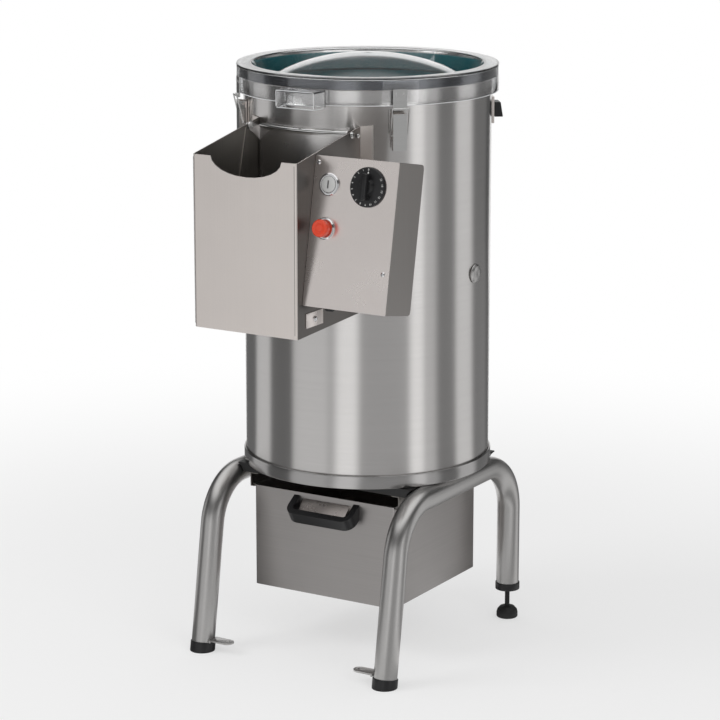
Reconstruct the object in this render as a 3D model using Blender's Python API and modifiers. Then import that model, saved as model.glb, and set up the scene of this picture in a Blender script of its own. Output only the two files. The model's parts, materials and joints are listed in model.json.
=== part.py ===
"""Potato peeler: a steel drum with an abrasive chamber, on a tube stand with a peel drawer.

Lengths are in metres and +Z is up. Every piece is placed from the drum's axis, where it meets the
floor, with the discharge chute towards -Y and the control box towards +X. The empty named machine
carries them all, and moves that point so that the world origin lies under the middle of the whole.
"""

import math

import bmesh
import bpy
from mathutils import Matrix, Vector

# Driving dimensions
DRUM_RADIUS = 0.200
DRUM_WALL = 0.002
DRUM_HEIGHT = 0.649
STAND_HALF_WIDTH = 0.174
RAIL_HEIGHT = 0.280
TUBE_RADIUS = 0.019
CHUTE_HALF_WIDTH = 0.094
CHUTE_DEPTH = 0.161
CHUTE_REACH = DRUM_RADIUS + CHUTE_DEPTH
CHUTE_BOTTOM = 0.578
CHUTE_REAR_TOP = 0.876
CHAMBER_FLOOR = 0.660
MOTOR_PLATE_TOP = 0.548
PANEL_WIDTH = 0.1452
PANEL_HEIGHT = 0.228
PANEL_TILT = math.radians(10.5)
SHEET = 0.0015

# Clearances and the overrun of every cutter
SEAT_GAP = 0.0003
RUN_GAP = 0.0005
OVERRUN = 0.010
MERGE = 0.00002

# Facets of a turned piece: drum size, shaft size and button size
DRUM_STEPS = 44
SHAFT_STEPS = 20
SMALL_STEPS = 12
DOME_STEPS = 4
SMOOTH_ANGLE = math.radians(32)

# Directions as rotations: an outline's X, Y and Z become the machine's Y, Z and X
SIDEWAYS = (math.pi / 2, 0, math.pi / 2)
FORWARD = (math.pi / 2, 0, 0)
BACKWARD = (-math.pi / 2, 0, 0)
RIGHTWARD = (0, math.pi / 2, 0)
DOWNWARD = (math.pi, 0, 0)
UPRIGHT = (0, 0, 0)

LOOKS = {
    "brushed_steel": ((0.55, 0.53, 0.51), 0.32, 1.0),
    "drum_steel": ((0.62, 0.61, 0.60), 0.26, 1.0),
    "polished_steel": ((0.72, 0.72, 0.72), 0.12, 1.0),
    "tube_steel": ((0.50, 0.49, 0.47), 0.38, 1.0),
    "clear_plastic": ((0.85, 0.90, 0.92), 0.05, 0.0),
    "black_plastic": ((0.02, 0.02, 0.022), 0.45, 0.0),
    "black_rubber": ((0.015, 0.015, 0.015), 0.80, 0.0),
    "red_plastic": ((0.72, 0.06, 0.03), 0.35, 0.0),
    "white_plastic": ((0.80, 0.80, 0.80), 0.35, 0.0),
    "chrome": ((0.75, 0.75, 0.76), 0.08, 1.0),
    "teal_abrasive": ((0.03, 0.20, 0.21), 0.85, 0.0),
    "cast_aluminium": ((0.45, 0.45, 0.46), 0.50, 1.0),
    "motor_enamel": ((0.10, 0.12, 0.16), 0.45, 0.0),
}


def clear_scene():
    for obj in list(bpy.data.objects):
        bpy.data.objects.remove(obj)


def new_collection(name, helper=False):
    collection = bpy.data.collections.new(name)
    collection.hide_render = helper
    bpy.context.scene.collection.children.link(collection)
    return collection


def new_empty(name, location, rotation=UPRIGHT, parent=None):
    empty = bpy.data.objects.new(name, None)
    PARTS.objects.link(empty)
    empty.parent = parent
    empty.location = location
    empty.rotation_euler = rotation
    return empty


def on_axis(name, point, parent=None):
    """Puts an empty on a joint's axis, and gives the place of the pieces that turn with it."""
    return {"at": -Vector(point), "parent": new_empty(name, point, parent=parent or MACHINE)}


def material(look):
    found = bpy.data.materials.get(look)
    if found:
        return found
    colour, roughness, metallic = LOOKS[look]
    made = bpy.data.materials.new(look)
    made.use_nodes = True
    shader = made.node_tree.nodes["Principled BSDF"]
    shader.inputs["Base Color"].default_value = (*colour, 1)
    shader.inputs["Roughness"].default_value = roughness
    shader.inputs["Metallic"].default_value = metallic
    return made


def new_part(name, mesh, look, at=(0, 0, 0), rotation=UPRIGHT, parent=None):
    """An object on the machine. Without a look it is a cutter or a helper, and stays hidden."""
    obj = bpy.data.objects.new(name, mesh)
    obj.parent = parent or MACHINE
    obj.location = at
    obj.rotation_euler = rotation
    if look:
        PARTS.objects.link(obj)
        mesh.materials.append(material(look))
    else:
        HELPERS.objects.link(obj)
        obj.hide_render = True
        obj.display_type = "WIRE"
    return obj


def turned(name, profile, look, steps=SHAFT_STEPS, **place):
    """Radius and height points turned about Z. They run along the top, then down the outer side."""
    points = [(radius, 0, height) for radius, height in profile]
    ring = profile[0][0] > 0
    edges = [(i, i + 1) for i in range(len(points) - 1)] + ([(len(points) - 1, 0)] if ring else [])
    mesh = bpy.data.meshes.new(name)
    mesh.from_pydata(points, edges, [])
    obj = new_part(name, mesh, look, **place)
    screw = obj.modifiers.new("Turn", "SCREW")
    screw.steps = steps
    screw.render_steps = steps
    screw.use_merge_vertices = True
    screw.merge_threshold = MERGE
    return obj


def rod(name, radius, low, high, look, steps=SHAFT_STEPS, **place):
    return turned(name, [(0, high), (radius, high), (radius, low), (0, low)], look, steps, **place)


def round_hole(name, radius, low, high, steps=SMALL_STEPS, **place):
    """A cutter whose flats, and not its corners, lie at the radius."""
    return rod(name, radius / math.cos(math.pi / steps), low, high, None, steps, **place)


def washer(name, bore, radius, low, high, look, steps=SHAFT_STEPS, **place):
    section = [(bore, high), (radius, high), (radius, low), (bore, low)]
    return turned(name, section, look, steps, **place)


def swept(name, profile, start, end, look, steps, **place):
    """Radius and height points swept about Z between two angles from the front, with closed ends."""
    cage = bmesh.new()
    corners = [cage.verts.new((r * math.sin(start), -r * math.cos(start), z)) for r, z in profile]
    face = cage.faces.new(corners)
    bmesh.ops.spin(
        cage, geom=[face], axis=(0, 0, 1), cent=(0, 0, 0), angle=end - start, steps=steps
    )
    bmesh.ops.recalc_face_normals(cage, faces=cage.faces)
    mesh = bpy.data.meshes.new(name)
    cage.to_mesh(mesh)
    cage.free()
    return new_part(name, mesh, look, **place)


def block(name, low, high, look, open_side=None, **place):
    """A box between two corners. open_side is the direction of a face that is left out."""
    low, high = Vector(low), Vector(high)
    size = high - low
    cage = bmesh.new()
    matrix = Matrix.Translation((low + high) / 2) @ Matrix.Diagonal((*size, 1))
    bmesh.ops.create_cube(cage, size=1, matrix=matrix)
    if open_side:
        cage.normal_update()
        gone = [face for face in cage.faces if face.normal.dot(Vector(open_side)) > 1 / 2]
        bmesh.ops.delete(cage, geom=gone, context="FACES_ONLY")
    mesh = bpy.data.meshes.new(name)
    cage.to_mesh(mesh)
    cage.free()
    return new_part(name, mesh, look, **place)


def soften(obj, width, segments=2, axis=None):
    """Bevels the edges of a box. With an axis, only the edges that run along it."""
    cage = bmesh.new()
    cage.from_mesh(obj.data)
    edges = list(cage.edges)
    if axis:
        along = Vector(axis)
        edges = [e for e in edges if abs((e.verts[1].co - e.verts[0].co).normalized().dot(along)) > 1 / 2]
        edges = [e for e in edges if len(e.link_faces) == 2]
    bmesh.ops.bevel(cage, geom=edges, offset=width, segments=segments, profile=1 / 2, affect="EDGES")
    cage.to_mesh(obj.data)
    cage.free()
    return obj


def as_mesh(obj):
    """A curve object made into a mesh object of the same name, place and material."""
    bpy.context.view_layer.update()
    graph = bpy.context.evaluated_depsgraph_get()
    mesh = bpy.data.meshes.new_from_object(obj.evaluated_get(graph), depsgraph=graph)
    cage = bmesh.new()
    cage.from_mesh(mesh)
    bmesh.ops.remove_doubles(cage, verts=cage.verts, dist=MERGE)
    bmesh.ops.recalc_face_normals(cage, faces=cage.faces)
    cage.to_mesh(mesh)
    cage.free()
    name, look = obj.name, obj.data.materials[0].name if obj.data.materials else None
    place = {"at": obj.location.copy(), "rotation": obj.rotation_euler.copy(), "parent": obj.parent}
    bpy.data.objects.remove(obj)
    mesh.materials.clear()
    return new_part(name, mesh, look, **place)


def outline(name, points, thickness, look, holes=(), **place):
    """A flat outline in X and Y, thickened evenly on both sides of Z = 0."""
    curve = bpy.data.curves.new(name, "CURVE")
    curve.dimensions = "2D"
    curve.fill_mode = "BOTH"
    curve.extrude = thickness / 2
    for loop in (points, *holes):
        spline = curve.splines.new("POLY")
        spline.points.add(len(loop) - 1)
        for point, (x, y) in zip(spline.points, loop):
            point.co = (x, y, 0, 1)
        spline.use_cyclic_u = True
    return as_mesh(new_part(name, curve, look, **place))


def tube(name, points, radius, look, resolution=2, closed=False, **place):
    curve = bpy.data.curves.new(name, "CURVE")
    curve.dimensions = "3D"
    curve.bevel_depth = radius
    curve.bevel_resolution = resolution
    curve.use_fill_caps = True
    spline = curve.splines.new("POLY")
    spline.points.add(len(points) - 1)
    for point, place_on_path in zip(spline.points, points):
        point.co = (*place_on_path, 1)
    spline.use_cyclic_u = closed
    return as_mesh(new_part(name, curve, look, **place))


def rounded_path(corners, radius, steps):
    """Straight runs between corner points, with an arc of one radius at each inner corner."""
    corners = [Vector(corner) for corner in corners]
    path = [corners[0]]
    for before, corner, after in zip(corners, corners[1:], corners[2:]):
        to_start = (before - corner).normalized()
        to_end = (after - corner).normalized()
        half = to_start.angle(to_end) / 2
        middle = corner + (to_start + to_end).normalized() * (radius / math.sin(half))
        start = corner + to_start * (radius / math.tan(half)) - middle
        end = corner + to_end * (radius / math.tan(half)) - middle
        turn = start.angle(end)
        for step in range(steps + 1):
            share = step / steps
            weight_start = math.sin((1 - share) * turn) / math.sin(turn)
            weight_end = math.sin(share * turn) / math.sin(turn)
            path.append(middle + start * weight_start + end * weight_end)
    return path + [corners[-1]]


def arc(centre, radius, start, end, steps):
    """Points on an arc in X and Y, with angles counted from +X towards +Y."""
    angles = [start + (end - start) * step / steps for step in range(steps + 1)]
    return [
        (centre[0] + radius * math.cos(angle), centre[1] + radius * math.sin(angle))
        for angle in angles
    ]


def boolean(obj, other, operation):
    modifier = obj.modifiers.new(other.name, "BOOLEAN")
    modifier.object = other
    modifier.operation = operation
    modifier.solver = "EXACT"
    return obj


def cut(obj, *cutters):
    for cutter in cutters:
        boolean(obj, cutter, "DIFFERENCE")
    return obj


def fuse(obj, *others):
    for other in others:
        boolean(obj, other, "UNION")
    return obj


def thicken(obj, thickness):
    """Gives an open surface its sheet thickness, on the inner side."""
    solidify = obj.modifiers.new("Sheet", "SOLIDIFY")
    solidify.thickness = thickness
    solidify.offset = -1
    solidify.use_even_offset = True
    return obj


def finish_parts():
    """Applies each part's modifiers and shades its round faces smooth."""
    bpy.context.view_layer.update()
    graph = bpy.context.evaluated_depsgraph_get()
    parts = [obj for obj in PARTS.objects if obj.type == "MESH"]
    meshes = [bpy.data.meshes.new_from_object(obj.evaluated_get(graph), depsgraph=graph) for obj in parts]
    for obj, mesh in zip(parts, meshes):
        look = obj.data.materials[0]
        obj.modifiers.clear()
        cage = bmesh.new()
        cage.from_mesh(mesh)
        bmesh.ops.dissolve_degenerate(cage, dist=MERGE, edges=cage.edges)
        cage.to_mesh(mesh)
        cage.free()
        mesh.materials.clear()
        mesh.materials.append(look)
        mesh.polygons.foreach_set("material_index", [0] * len(mesh.polygons))
        mesh.shade_smooth()
        mesh.set_sharp_from_angle(angle=SMOOTH_ANGLE)
        obj.data = mesh


# Stand: two bent tubes, each with a leaning front leg and an upright rear leg
FRONT_FOOT_REACH = 0.236
FRONT_LEG_LEAN = math.radians(9.1)
REAR_LEG_REACH = 0.173
BEND_RADIUS = 0.085
BEND_STEPS = 6
CAP_WALL = 0.0012
FRONT_CAP_FLOOR = 0.005
FRONT_CAP_HEIGHT = 0.015
FOOT_PAD_HEIGHT = 0.020
FOOT_PAD_RADIUS = 0.018
STUD_RADIUS = 0.004
STUD_SHOWN = 0.030
REAR_CAP_FLOOR = 0.006
REAR_CAP_GRIP = 0.006
TAB_REACH = 0.058
TAB_WIDTH = 0.022
TAB_THICKNESS = 0.003
TAB_HOLE_RADIUS = 0.004
BAR_WIDTH = 0.030
BAR_HEIGHT = 0.015
BAR_REACH = 0.125

CAP_RADIUS = TUBE_RADIUS + SEAT_GAP + CAP_WALL
REAR_CAP_BOTTOM = FOOT_PAD_HEIGHT + STUD_SHOWN
REAR_TUBE_END = REAR_CAP_BOTTOM + REAR_CAP_FLOOR + SEAT_GAP
STAND_TOP = RAIL_HEIGHT + TUBE_RADIUS
TAB_BOTTOM = FRONT_CAP_HEIGHT + CAP_RADIUS * math.sin(FRONT_LEG_LEAN) + SEAT_GAP


def make_stand_side(side, name):
    x = side * STAND_HALF_WIDTH
    lean = Vector((0, math.sin(FRONT_LEG_LEAN), math.cos(FRONT_LEG_LEAN)))
    foot = Vector((x, -FRONT_FOOT_REACH, 0))
    front_corner = foot + lean * (RAIL_HEIGHT / lean.z)
    path = rounded_path(
        [
            foot + lean * (FRONT_CAP_FLOOR + SEAT_GAP),
            front_corner,
            (x, REAR_LEG_REACH, RAIL_HEIGHT),
            (x, REAR_LEG_REACH, REAR_TUBE_END),
        ],
        BEND_RADIUS,
        BEND_STEPS,
    )
    body = tube(f"stand_tube_{name}", path, TUBE_RADIUS, "tube_steel", resolution=4)
    tab_centre = foot + lean * ((TAB_BOTTOM + TAB_THICKNESS / 2) / lean.z)
    tip = arc((TAB_REACH - TAB_WIDTH / 2, 0), TAB_WIDTH / 2, -math.pi / 2, math.pi / 2, 6)
    tab = outline(
        f"tab_blank_{name}",
        [(0, -TAB_WIDTH / 2), *tip, (0, TAB_WIDTH / 2)],
        TAB_THICKNESS,
        None,
        at=tab_centre,
        rotation=(0, 0, 0 if side < 0 else math.pi),
    )
    hole_at = tab_centre - Vector((side * (TAB_REACH - TAB_WIDTH / 2), 0, 0))
    hole = round_hole(f"tab_hole_{name}", TAB_HOLE_RADIUS, -OVERRUN, OVERRUN, at=hole_at)
    cut(fuse(body, tab), hole)

    cap_section = [
        (TUBE_RADIUS + SEAT_GAP, FRONT_CAP_HEIGHT),
        (CAP_RADIUS, FRONT_CAP_HEIGHT),
        (CAP_RADIUS, -FRONT_CAP_FLOOR),
        (0, -FRONT_CAP_FLOOR),
    ]
    cap = turned(
        f"front_cap_{name}",
        [(0, FRONT_CAP_FLOOR), (TUBE_RADIUS + SEAT_GAP, FRONT_CAP_FLOOR), *cap_section],
        "black_plastic",
        at=foot,
        rotation=(-FRONT_LEG_LEAN, 0, 0),
    )
    reach = CAP_RADIUS + OVERRUN
    floor = block(f"floor_{name}", (-reach, -reach, -reach), (reach, reach, 0), None, at=foot)
    cut(cap, floor)

    rear = (x, REAR_LEG_REACH, 0)
    grip_top = REAR_TUBE_END + REAR_CAP_GRIP
    bore = STUD_RADIUS + SEAT_GAP
    turned(
        f"rear_cap_{name}",
        [
            (bore, REAR_TUBE_END - SEAT_GAP),
            (TUBE_RADIUS + SEAT_GAP, REAR_TUBE_END - SEAT_GAP),
            (TUBE_RADIUS + SEAT_GAP, grip_top),
            (CAP_RADIUS, grip_top),
            (CAP_RADIUS, REAR_CAP_BOTTOM),
            (bore, REAR_CAP_BOTTOM),
        ],
        "black_plastic",
        at=rear,
    )
    crown_shares = ((0.30, 1.0), (0.68, 0.92), (0.93, 0.66), (1.0, 0.42), (1.0, 0.08), (0.92, 0.0))
    crown = [(FOOT_PAD_RADIUS * r, FOOT_PAD_HEIGHT * z) for r, z in crown_shares]
    stud_top = REAR_TUBE_END - SEAT_GAP
    turned(
        f"rear_foot_{name}",
        [(0, stud_top), (STUD_RADIUS, stud_top), (STUD_RADIUS, FOOT_PAD_HEIGHT), *crown, (0, 0)],
        "black_rubber",
        SMALL_STEPS,
        at=rear,
    )


def make_cross_bars():
    """Bars under the pan, with ends coped to the tubes that carry them."""
    reach = REAR_LEG_REACH + OVERRUN
    copes = [
        round_hole(
            f"cope_{name}",
            TUBE_RADIUS + SEAT_GAP,
            -reach,
            reach,
            SHAFT_STEPS,
            at=(side * STAND_HALF_WIDTH, 0, RAIL_HEIGHT),
            rotation=FORWARD,
        )
        for side, name in SIDES
    ]
    for name, y in (("front", -BAR_REACH), ("rear", BAR_REACH)):
        bar = block(
            f"cross_bar_{name}",
            (-STAND_HALF_WIDTH + TUBE_RADIUS / 2, y - BAR_WIDTH / 2, STAND_TOP - BAR_HEIGHT),
            (STAND_HALF_WIDTH - TUBE_RADIUS / 2, y + BAR_WIDTH / 2, STAND_TOP),
            "tube_steel",
        )
        cut(bar, *copes)


# Peel drawer on its two runners
DRAWER_HALF_WIDTH = 0.133
DRAWER_FRONT = 0.138
DRAWER_REAR = 0.129
DRAWER_DROP = 0.016
DRAWER_HEIGHT = 0.170
DRAWER_CORNER = 0.004
FLANGE_WIDTH = 0.0065
RUNNER_TOP_WIDTH = 0.014
SPOUT_RADIUS = 0.022
SPOUT_LENGTH = 0.030
SPOUT_RISE = 0.016
SCREEN_HEIGHT = 0.052
SCREEN_COLUMNS = 5
SCREEN_ROWS = 4
SCREEN_SLOT_SHARE = 0.55
GRIP_WIDTH = 0.124
GRIP_REACH = 0.034
GRIP_SHIFT = 0.006
GRIP_THICKNESS = 0.011
GRIP_TALL = 0.022
GRIP_CORNER = 0.018
GRIP_DROP = 0.018
GRIP_DROOP = math.radians(32)

DRAWER_TOP = RAIL_HEIGHT - DRAWER_DROP
DRAWER_BOTTOM = DRAWER_TOP - DRAWER_HEIGHT
GRIP_HEIGHT = DRAWER_TOP - GRIP_DROP


def make_runners():
    inner = DRAWER_HALF_WIDTH + RUN_GAP
    web = DRAWER_HALF_WIDTH + FLANGE_WIDTH + RUN_GAP
    lip_top = DRAWER_TOP - SHEET - SEAT_GAP
    top = STAND_TOP - BAR_HEIGHT - SEAT_GAP
    section = [
        (inner, lip_top - SHEET),
        (web + SHEET, lip_top - SHEET),
        (web + SHEET, top),
        (web + SHEET - RUNNER_TOP_WIDTH, top),
        (web + SHEET - RUNNER_TOP_WIDTH, top - SHEET),
        (web, top - SHEET),
        (web, lip_top),
        (inner, lip_top),
    ]
    length = DRAWER_REAR + DRAWER_FRONT
    middle = (DRAWER_REAR - DRAWER_FRONT) / 2
    for side, name in SIDES:
        loop = [(side * x, z) for x, z in section]
        outline(
            f"runner_{name}", loop, length, "brushed_steel", at=(0, middle, 0), rotation=FORWARD
        )


def make_drawer():
    drawer = block(
        "filter_drawer",
        (-DRAWER_HALF_WIDTH, -DRAWER_FRONT, DRAWER_BOTTOM),
        (DRAWER_HALF_WIDTH, DRAWER_REAR, DRAWER_TOP),
        "brushed_steel",
        open_side=(0, 0, 1),
    )
    soften(drawer, DRAWER_CORNER, axis=(0, 0, 1))
    thicken(drawer, SHEET)
    for side, name in SIDES:
        edge = side * (DRAWER_HALF_WIDTH - SHEET / 2)
        rim = side * (DRAWER_HALF_WIDTH + FLANGE_WIDTH)
        flange = block(
            f"drawer_flange_{name}",
            (min(edge, rim), -DRAWER_FRONT + DRAWER_CORNER, DRAWER_TOP - SHEET),
            (max(edge, rim), DRAWER_REAR - DRAWER_CORNER, DRAWER_TOP),
            None,
        )
        fuse(drawer, flange)
    spout_place = {
        "at": (0, DRAWER_REAR, DRAWER_BOTTOM + SPOUT_RISE + SPOUT_RADIUS),
        "rotation": BACKWARD,
    }
    spout = rod("spout_blank", SPOUT_RADIUS, -SHEET / 2, SPOUT_LENGTH, None, **spout_place)
    bore = rod(
        "spout_bore", SPOUT_RADIUS - SHEET, -OVERRUN, SPOUT_LENGTH + OVERRUN, None, **spout_place
    )
    cut(fuse(drawer, spout), bore)


def make_screen():
    """A folded tray upside down: its two legs stand on the drawer's floor."""
    half = DRAWER_HALF_WIDTH - SHEET - RUN_GAP * 2
    front = -DRAWER_FRONT + SHEET + RUN_GAP * 2
    rear = DRAWER_REAR - SHEET - RUN_GAP * 2
    floor = DRAWER_BOTTOM + SHEET + SEAT_GAP
    top = floor + SCREEN_HEIGHT
    legs = [
        (-half, floor), (-half + SHEET, floor), (-half + SHEET, top - SHEET),
        (half - SHEET, top - SHEET), (half - SHEET, floor), (half, floor), (half, top), (-half, top),
    ]
    screen = outline(
        "filter_screen",
        legs,
        rear - front,
        "brushed_steel",
        at=(0, (front + rear) / 2, 0),
        rotation=FORWARD,
    )
    pitch_x = 2 * half / SCREEN_COLUMNS
    pitch_y = (rear - front) / SCREEN_ROWS
    slot_x = pitch_x * SCREEN_SLOT_SHARE / 2
    slot_y = pitch_y * SCREEN_SLOT_SHARE / 2
    for column in range(SCREEN_COLUMNS):
        for row in range(SCREEN_ROWS):
            x = -half + (column + 1 / 2) * pitch_x
            y = front + (row + 1 / 2) * pitch_y
            slot = block(
                f"screen_slot_{column}_{row}",
                (x - slot_x, y - slot_y, top - OVERRUN),
                (x + slot_x, y + slot_y, top + OVERRUN),
                None,
            )
            cut(screen, slot)


def make_drawer_handle():
    """A bow of flat section that droops from the drawer's front."""
    half = GRIP_WIDTH / 2
    inner = half - GRIP_THICKNESS
    outer_bow = rounded_path(
        [(-half, OVERRUN, 0), (-half, -GRIP_REACH, 0), (half, -GRIP_REACH, 0), (half, OVERRUN, 0)],
        GRIP_CORNER,
        5,
    )
    inner_bow = rounded_path(
        [
            (inner, OVERRUN, 0),
            (inner, GRIP_THICKNESS - GRIP_REACH, 0),
            (-inner, GRIP_THICKNESS - GRIP_REACH, 0),
            (-inner, OVERRUN, 0),
        ],
        GRIP_CORNER - GRIP_THICKNESS,
        3,
    )
    at = (GRIP_SHIFT, -DRAWER_FRONT, GRIP_HEIGHT)
    bow = outline(
        "drawer_handle",
        [(point.x, point.y) for point in outer_bow + inner_bow],
        GRIP_TALL,
        "black_plastic",
        at=at,
        rotation=(GRIP_DROOP, 0, 0),
    )
    bevel = bow.modifiers.new("Soft edges", "BEVEL")
    bevel.width = GRIP_THICKNESS / 4
    bevel.segments = 2
    bevel.angle_limit = math.radians(60)
    behind = block(
        "behind_drawer_front",
        (-GRIP_WIDTH, -DRAWER_FRONT - SEAT_GAP, GRIP_HEIGHT - GRIP_WIDTH),
        (GRIP_WIDTH, -DRAWER_FRONT + GRIP_WIDTH, GRIP_HEIGHT + GRIP_WIDTH),
        None,
        at=(GRIP_SHIFT, 0, 0),
    )
    cut(bow, behind)


# Base pan, drum and chamber
PAN_FLOOR = 0.0015
PAN_RIM_WALL = 0.0032
PAN_RIM_HEIGHT = 0.0215
PAN_ROLL = 0.002
BEAD_REACH = 0.004
BEAD_HEIGHT = 0.014
BEAD_ROUND = 0.0015
LINER_THICKNESS = 0.0052
LINER_DROP = 0.004
FLOOR_SHEET = 0.002
FLOOR_UPSTAND = 0.012
COLLAR_BORE = 0.022
COLLAR_TOP = 0.022
DRAIN_X = -0.095
DRAIN_Y = -0.080
DRAIN_RADIUS = 0.025
DRAIN_FLANGE = 0.010
DRAIN_TAIL = 0.005
DISC_CLEARANCE = 0.0085
DISC_THICKNESS = 0.010
DISC_LIFT = 0.020
DISC_SKIRT_LENGTH = 0.014
DISC_SKIRT_RADIUS = 0.034
DISC_SKIRT_WALL = 0.004
WAVE_HEIGHT = 0.014
WAVE_COUNT = 3
SHAFT_RADIUS = 0.010
SHAFT_TIP_RADIUS = 0.006
SHAFT_TIP_LENGTH = 0.0135
HUB_HEIGHT = 0.018
NUT_RADIUS = 0.0125
NUT_HEIGHT = 0.012
OPENING_HALF_WIDTH = 0.070
OPENING_RISE = 0.052
OPENING_HEIGHT = 0.150
INLET_DROP = 0.1001
INLET_RADIUS = 0.010
INLET_BORE = 0.006
INLET_REACH = 0.041
PLUG_DROP = 0.031
PLUG_RADIUS = 0.0158
PLUG_NECK = 0.0137
PLUG_CROWN = 0.0055
CONDUIT_ASIDE = math.radians(9.46)
CONDUIT_DROP = 0.015
CONDUIT_RADIUS = 0.008
CONDUIT_LENGTH = 0.145
CONDUIT_FLANGE = 0.004
CONDUIT_WALL = 0.002

PAN_BOTTOM = STAND_TOP + SEAT_GAP
DRUM_BOTTOM = PAN_BOTTOM + PAN_FLOOR + SEAT_GAP
DRUM_TOP = DRUM_BOTTOM + DRUM_HEIGHT
BORE_RADIUS = DRUM_RADIUS - DRUM_WALL - SEAT_GAP
DRAIN_END = RAIL_HEIGHT - DRAIN_TAIL
OPENING_BOTTOM = CHAMBER_FLOOR + OPENING_RISE
OPENING_TOP = OPENING_BOTTOM + OPENING_HEIGHT
INLET_HEIGHT = DRUM_TOP - INLET_DROP
PLUG_HEIGHT = CHAMBER_FLOOR - PLUG_DROP
CONDUIT_ANGLE = math.asin(CHUTE_HALF_WIDTH / DRUM_RADIUS) + CONDUIT_ASIDE
CONDUIT_HEIGHT = CHAMBER_FLOOR - CONDUIT_DROP
CONDUIT_END = DRUM_RADIUS + CONDUIT_LENGTH
DISC_RADIUS = BORE_RADIUS - LINER_THICKNESS - DISC_CLEARANCE
DISC_BOTTOM = CHAMBER_FLOOR + DISC_LIFT
DISC_TOP = DISC_BOTTOM + DISC_THICKNESS
HUB_TOP = DISC_BOTTOM + HUB_HEIGHT


def drain_cutter(name, low, high, extra):
    return round_hole(name, DRAIN_RADIUS + extra, low, high, SHAFT_STEPS, at=(DRAIN_X, DRAIN_Y, 0))


def make_base_pan():
    inner = DRUM_RADIUS + SEAT_GAP
    outer = inner + PAN_RIM_WALL
    floor_top = PAN_BOTTOM + PAN_FLOOR
    top = PAN_BOTTOM + PAN_RIM_HEIGHT
    pan = turned(
        "base_pan",
        [
            (0, floor_top),
            (inner, floor_top),
            (inner, top),
            (outer - PAN_ROLL / 2, top),
            (outer, top - PAN_ROLL),
            (outer, PAN_BOTTOM + PAN_ROLL),
            (outer - PAN_ROLL, PAN_BOTTOM),
            (0, PAN_BOTTOM),
        ],
        "polished_steel",
        DRUM_STEPS,
    )
    cut(pan, drain_cutter("pan_drain_hole", PAN_BOTTOM - OVERRUN, floor_top + OVERRUN, SEAT_GAP))


def side_cutters():
    """Holes that pass through the drum's wall, shared by what the wall carries."""
    reach = DRUM_RADIUS + OVERRUN
    depth = DRUM_RADIUS - LINER_THICKNESS - OVERRUN
    opening = block(
        "outlet_opening",
        (-OPENING_HALF_WIDTH, -reach, OPENING_BOTTOM),
        (OPENING_HALF_WIDTH, 0, OPENING_TOP),
        None,
    )
    plug = round_hole(
        "plug_hole", PLUG_NECK + SEAT_GAP, depth, reach,
        at=(0, 0, PLUG_HEIGHT), rotation=RIGHTWARD,
    )
    inlet = round_hole(
        "inlet_hole", INLET_RADIUS + SEAT_GAP, depth, reach,
        at=(0, 0, INLET_HEIGHT), rotation=BACKWARD,
    )
    conduit = round_hole(
        "conduit_hole", CONDUIT_RADIUS + SEAT_GAP, depth, CONDUIT_END + OVERRUN,
        at=(0, 0, CONDUIT_HEIGHT), rotation=(math.pi / 2, 0, CONDUIT_ANGLE),
    )
    return opening, plug, inlet, conduit


def make_drum(opening, plug, inlet, conduit):
    inner = DRUM_RADIUS - DRUM_WALL
    bead = DRUM_RADIUS + BEAD_REACH
    casing = turned(
        "outer_casing",
        [
            (inner, DRUM_TOP),
            (bead - BEAD_ROUND, DRUM_TOP),
            (bead, DRUM_TOP - BEAD_ROUND),
            (bead, DRUM_TOP - BEAD_HEIGHT + BEAD_ROUND),
            (bead - BEAD_ROUND, DRUM_TOP - BEAD_HEIGHT),
            (DRUM_RADIUS, DRUM_TOP - BEAD_HEIGHT),
            (DRUM_RADIUS, DRUM_BOTTOM),
            (inner, DRUM_BOTTOM),
        ],
        "drum_steel",
        DRUM_STEPS,
    )
    cut(casing, opening, plug, inlet, conduit)

    liner = washer(
        "chamber_liner",
        BORE_RADIUS - LINER_THICKNESS,
        BORE_RADIUS,
        CHAMBER_FLOOR + FLOOR_UPSTAND,
        DRUM_TOP - LINER_DROP,
        "teal_abrasive",
        DRUM_STEPS,
    )
    cut(liner, opening, inlet)

    floor_top = CHAMBER_FLOOR + FLOOR_SHEET
    rim_top = CHAMBER_FLOOR + FLOOR_UPSTAND - SEAT_GAP
    collar = COLLAR_BORE + FLOOR_SHEET
    floor = turned(
        "chamber_floor",
        [
            (COLLAR_BORE, CHAMBER_FLOOR + COLLAR_TOP),
            (collar, CHAMBER_FLOOR + COLLAR_TOP),
            (collar, floor_top),
            (BORE_RADIUS - FLOOR_SHEET, floor_top),
            (BORE_RADIUS - FLOOR_SHEET, rim_top),
            (BORE_RADIUS, rim_top),
            (BORE_RADIUS, CHAMBER_FLOOR),
            (COLLAR_BORE, CHAMBER_FLOOR),
        ],
        "brushed_steel",
        DRUM_STEPS,
    )
    cut(floor, drain_cutter("floor_drain_hole", CHAMBER_FLOOR - OVERRUN, floor_top + OVERRUN, -SHEET))


def wave(radius, angle):
    """Height of the disc's raised ridges, which fade out at the hub and at the rim."""
    across = (radius - COLLAR_BORE) / (DISC_RADIUS - COLLAR_BORE)
    fade = math.sin(math.pi * min(max(across, 0), 1))
    ridge = (1 + math.cos(WAVE_COUNT * angle)) / 2
    return WAVE_HEIGHT * fade * ridge**2


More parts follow.
